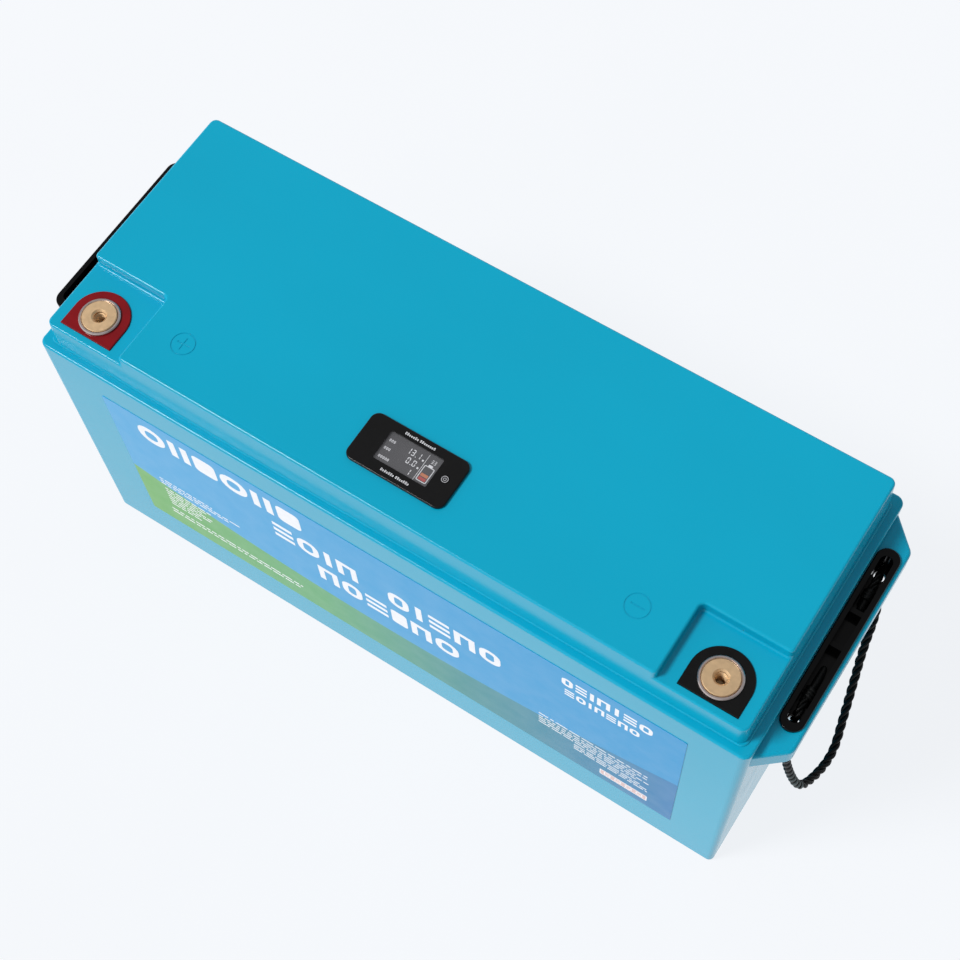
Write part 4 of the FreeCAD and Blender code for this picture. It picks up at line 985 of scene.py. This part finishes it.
def make_bezel_print():
    """Two captions on the bezel, as plain marks."""
    low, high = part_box("display_bezel")
    window_low, window_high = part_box("display_window")
    plane = Plane((0, 0, high.z), (1, 0, 0), (0, 1, 0))
    mesh = bmesh.new()
    captions = (
        ((high.y + window_high.y) / 2 - 0.3 * MM, (7, 8)),
        ((low.y + window_low.y) / 2 + 0.2 * MM, (7, 7)),
    )
    for v, words in captions:
        u = -sum(words) * CAPTION_PITCH / 2
        for word in words:
            for k in range(word):
                others = (CAPTION_SMALL, CAPTION_SMALL, CAPTION_TALL)
                tall = CAPTION_TALL if k == 0 else random.choice(others)
                middle = v + (tall - CAPTION_TALL) / 2
                add_mark(mesh, plane, u, middle, CAPTION_WIDTH, tall, 0.25 * MM, *CAPTION_LIFT,
                         CAPTION_LINE)
                u += CAPTION_PITCH
            u += CAPTION_PITCH * 0.6
    give(finish_mesh("display_captions", mesh), "white_print")


make_lcd()
make_bezel_print()


# ------------------------------------------------------------------ terminal threads


THREAD_RADIUS = 3.36 * MM
THREAD_CREST = 2.95 * MM
THREAD_PITCH = 1.25 * MM
THREAD_START = 2.2 * MM
THREAD_TURNS = 9
THREAD_STEPS = 36
ROOT_HALF = 0.42 * MM
CREST_HALF = 0.08 * MM


def make_thread(pole):
    """The cut thread inside a terminal, as one helical ridge."""
    low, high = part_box(f"terminal_bushing_{pole}")
    centre = (low + high) / 2
    mesh = bmesh.new()
    profiles = []
    for i in range(THREAD_TURNS * THREAD_STEPS + 1):
        turned = i / THREAD_STEPS
        angle = 2 * math.pi * turned
        out = Vector((math.cos(angle), math.sin(angle), 0))
        spine = Vector((centre.x, centre.y, high.z - THREAD_START - THREAD_PITCH * turned))
        profiles.append([
            mesh.verts.new(spine + out * THREAD_RADIUS + UP * ROOT_HALF),
            mesh.verts.new(spine + out * THREAD_CREST + UP * CREST_HALF),
            mesh.verts.new(spine + out * THREAD_CREST - UP * CREST_HALF),
            mesh.verts.new(spine + out * THREAD_RADIUS - UP * ROOT_HALF),
        ])
    skin_rings(mesh, profiles)
    give(finish_mesh(f"thread_{pole}", mesh), "terminal_brass")


for pole in ("positive", "negative"):
    make_thread(pole)


# ------------------------------------------------------------------ CAD nodes' materials


def dress_cad_nodes():
    """Every CAD node takes the material of its record slot, or a closer one of its own."""
    slots = {row["node"]: row["material_slot"] for row in frame["record"]["subparts"]}
    for name, piece in frame["nodes"].items():
        chosen = slots[name]
        if chosen == "lid_plastic":
            chosen = "case_plastic"
        elif name.startswith("handle_tray"):
            chosen = "tray_plastic"
        elif name == "display_button":
            chosen = "button_face"
        give(piece, chosen)


dress_cad_nodes()


# ------------------------------------------------------------------ stage and light


FLOOR_ALBEDO = 0.09
FLOOR_GLOW = 0.915
FLOOR_HALF_WIDTH = 6.0
FLOOR_DROP = 0.3 * MM
KEY_DIRECTION = (-0.52, -0.56, 1.0)
KEY_STRENGTH = 2.40
KEY_ANGLE = math.radians(16)
SKY_STRENGTH = 0.92


def make_floor():
    """A pale, back-lit table top, as used for product pictures."""
    mesh = bmesh.new()
    size = FLOOR_HALF_WIDTH
    corners = [(-size, -size), (size, -size), (size, size), (-size, size)]
    mesh.faces.new([mesh.verts.new((x, y, -FLOOR_DROP)) for x, y in corners])
    data = bpy.data.meshes.new("floor")
    mesh.to_mesh(data)
    mesh.free()
    floor = bpy.data.objects.new("floor", data)
    bpy.context.scene.collection.objects.link(floor)
    material, tree, shader = new_material("pale_floor", roughness=0.9)
    pale = ramp(tree, noise(tree, 3.0), [(0.3, (0.905, 0.925, 0.955)), (0.7, (0.915, 0.935, 0.965))])
    dimmed = node(tree, "ShaderNodeMix", data_type="RGBA", blend_type="MULTIPLY")
    dimmed.inputs["Factor"].default_value = 1.0
    dimmed.inputs["B"].default_value = (FLOOR_ALBEDO, FLOOR_ALBEDO, FLOOR_ALBEDO, 1)
    tree.links.new(pale, dimmed.inputs["A"])
    tree.links.new(dimmed.outputs["Result"], shader.inputs["Base Color"])
    tree.links.new(pale, shader.inputs["Emission Color"])
    shader.inputs["Emission Strength"].default_value = FLOOR_GLOW
    shader.inputs["Specular IOR Level"].default_value = 0.1
    data.materials.append(material)


def add_key_light():
    """A soft, even light from the front left, like a large softbox far away."""
    data = bpy.data.lights.new("key", "SUN")
    data.energy = KEY_STRENGTH
    data.angle = KEY_ANGLE
    light = bpy.data.objects.new("key", data)
    light.rotation_euler = Vector(KEY_DIRECTION).to_track_quat("Z", "Y").to_euler()
    bpy.context.scene.collection.objects.link(light)


def make_world():
    """Pale at the horizon, darker overhead and on the right."""
    world = bpy.data.worlds.new("studio")
    bpy.context.scene.world = world
    world.use_nodes = True
    tree = world.node_tree
    background = tree.nodes["Background"]
    coordinates = node(tree, "ShaderNodeTexCoord")
    split = node(tree, "ShaderNodeSeparateXYZ")
    tree.links.new(coordinates.outputs["Generated"], split.inputs["Vector"])
    stops = [(0.0, (0.95, 0.96, 0.98)), (0.45, (0.72, 0.73, 0.75)), (0.8, (0.40, 0.40, 0.41))]
    sky = ramp(tree, split.outputs["Z"], stops)
    sides = ramp(tree, split.outputs["X"], [(0.15, (1.0, 1.0, 1.0)), (0.85, (0.35, 0.35, 0.35))])
    mix = node(tree, "ShaderNodeMix", data_type="RGBA", blend_type="MULTIPLY")
    mix.inputs["Factor"].default_value = 1.0
    tree.links.new(sky, mix.inputs["A"])
    tree.links.new(sides, mix.inputs["B"])
    tree.links.new(mix.outputs["Result"], background.inputs["Color"])
    background.inputs["Strength"].default_value = SKY_STRENGTH


make_floor()
make_world()
add_key_light()
bpy.context.scene.view_settings.view_transform = "Standard"
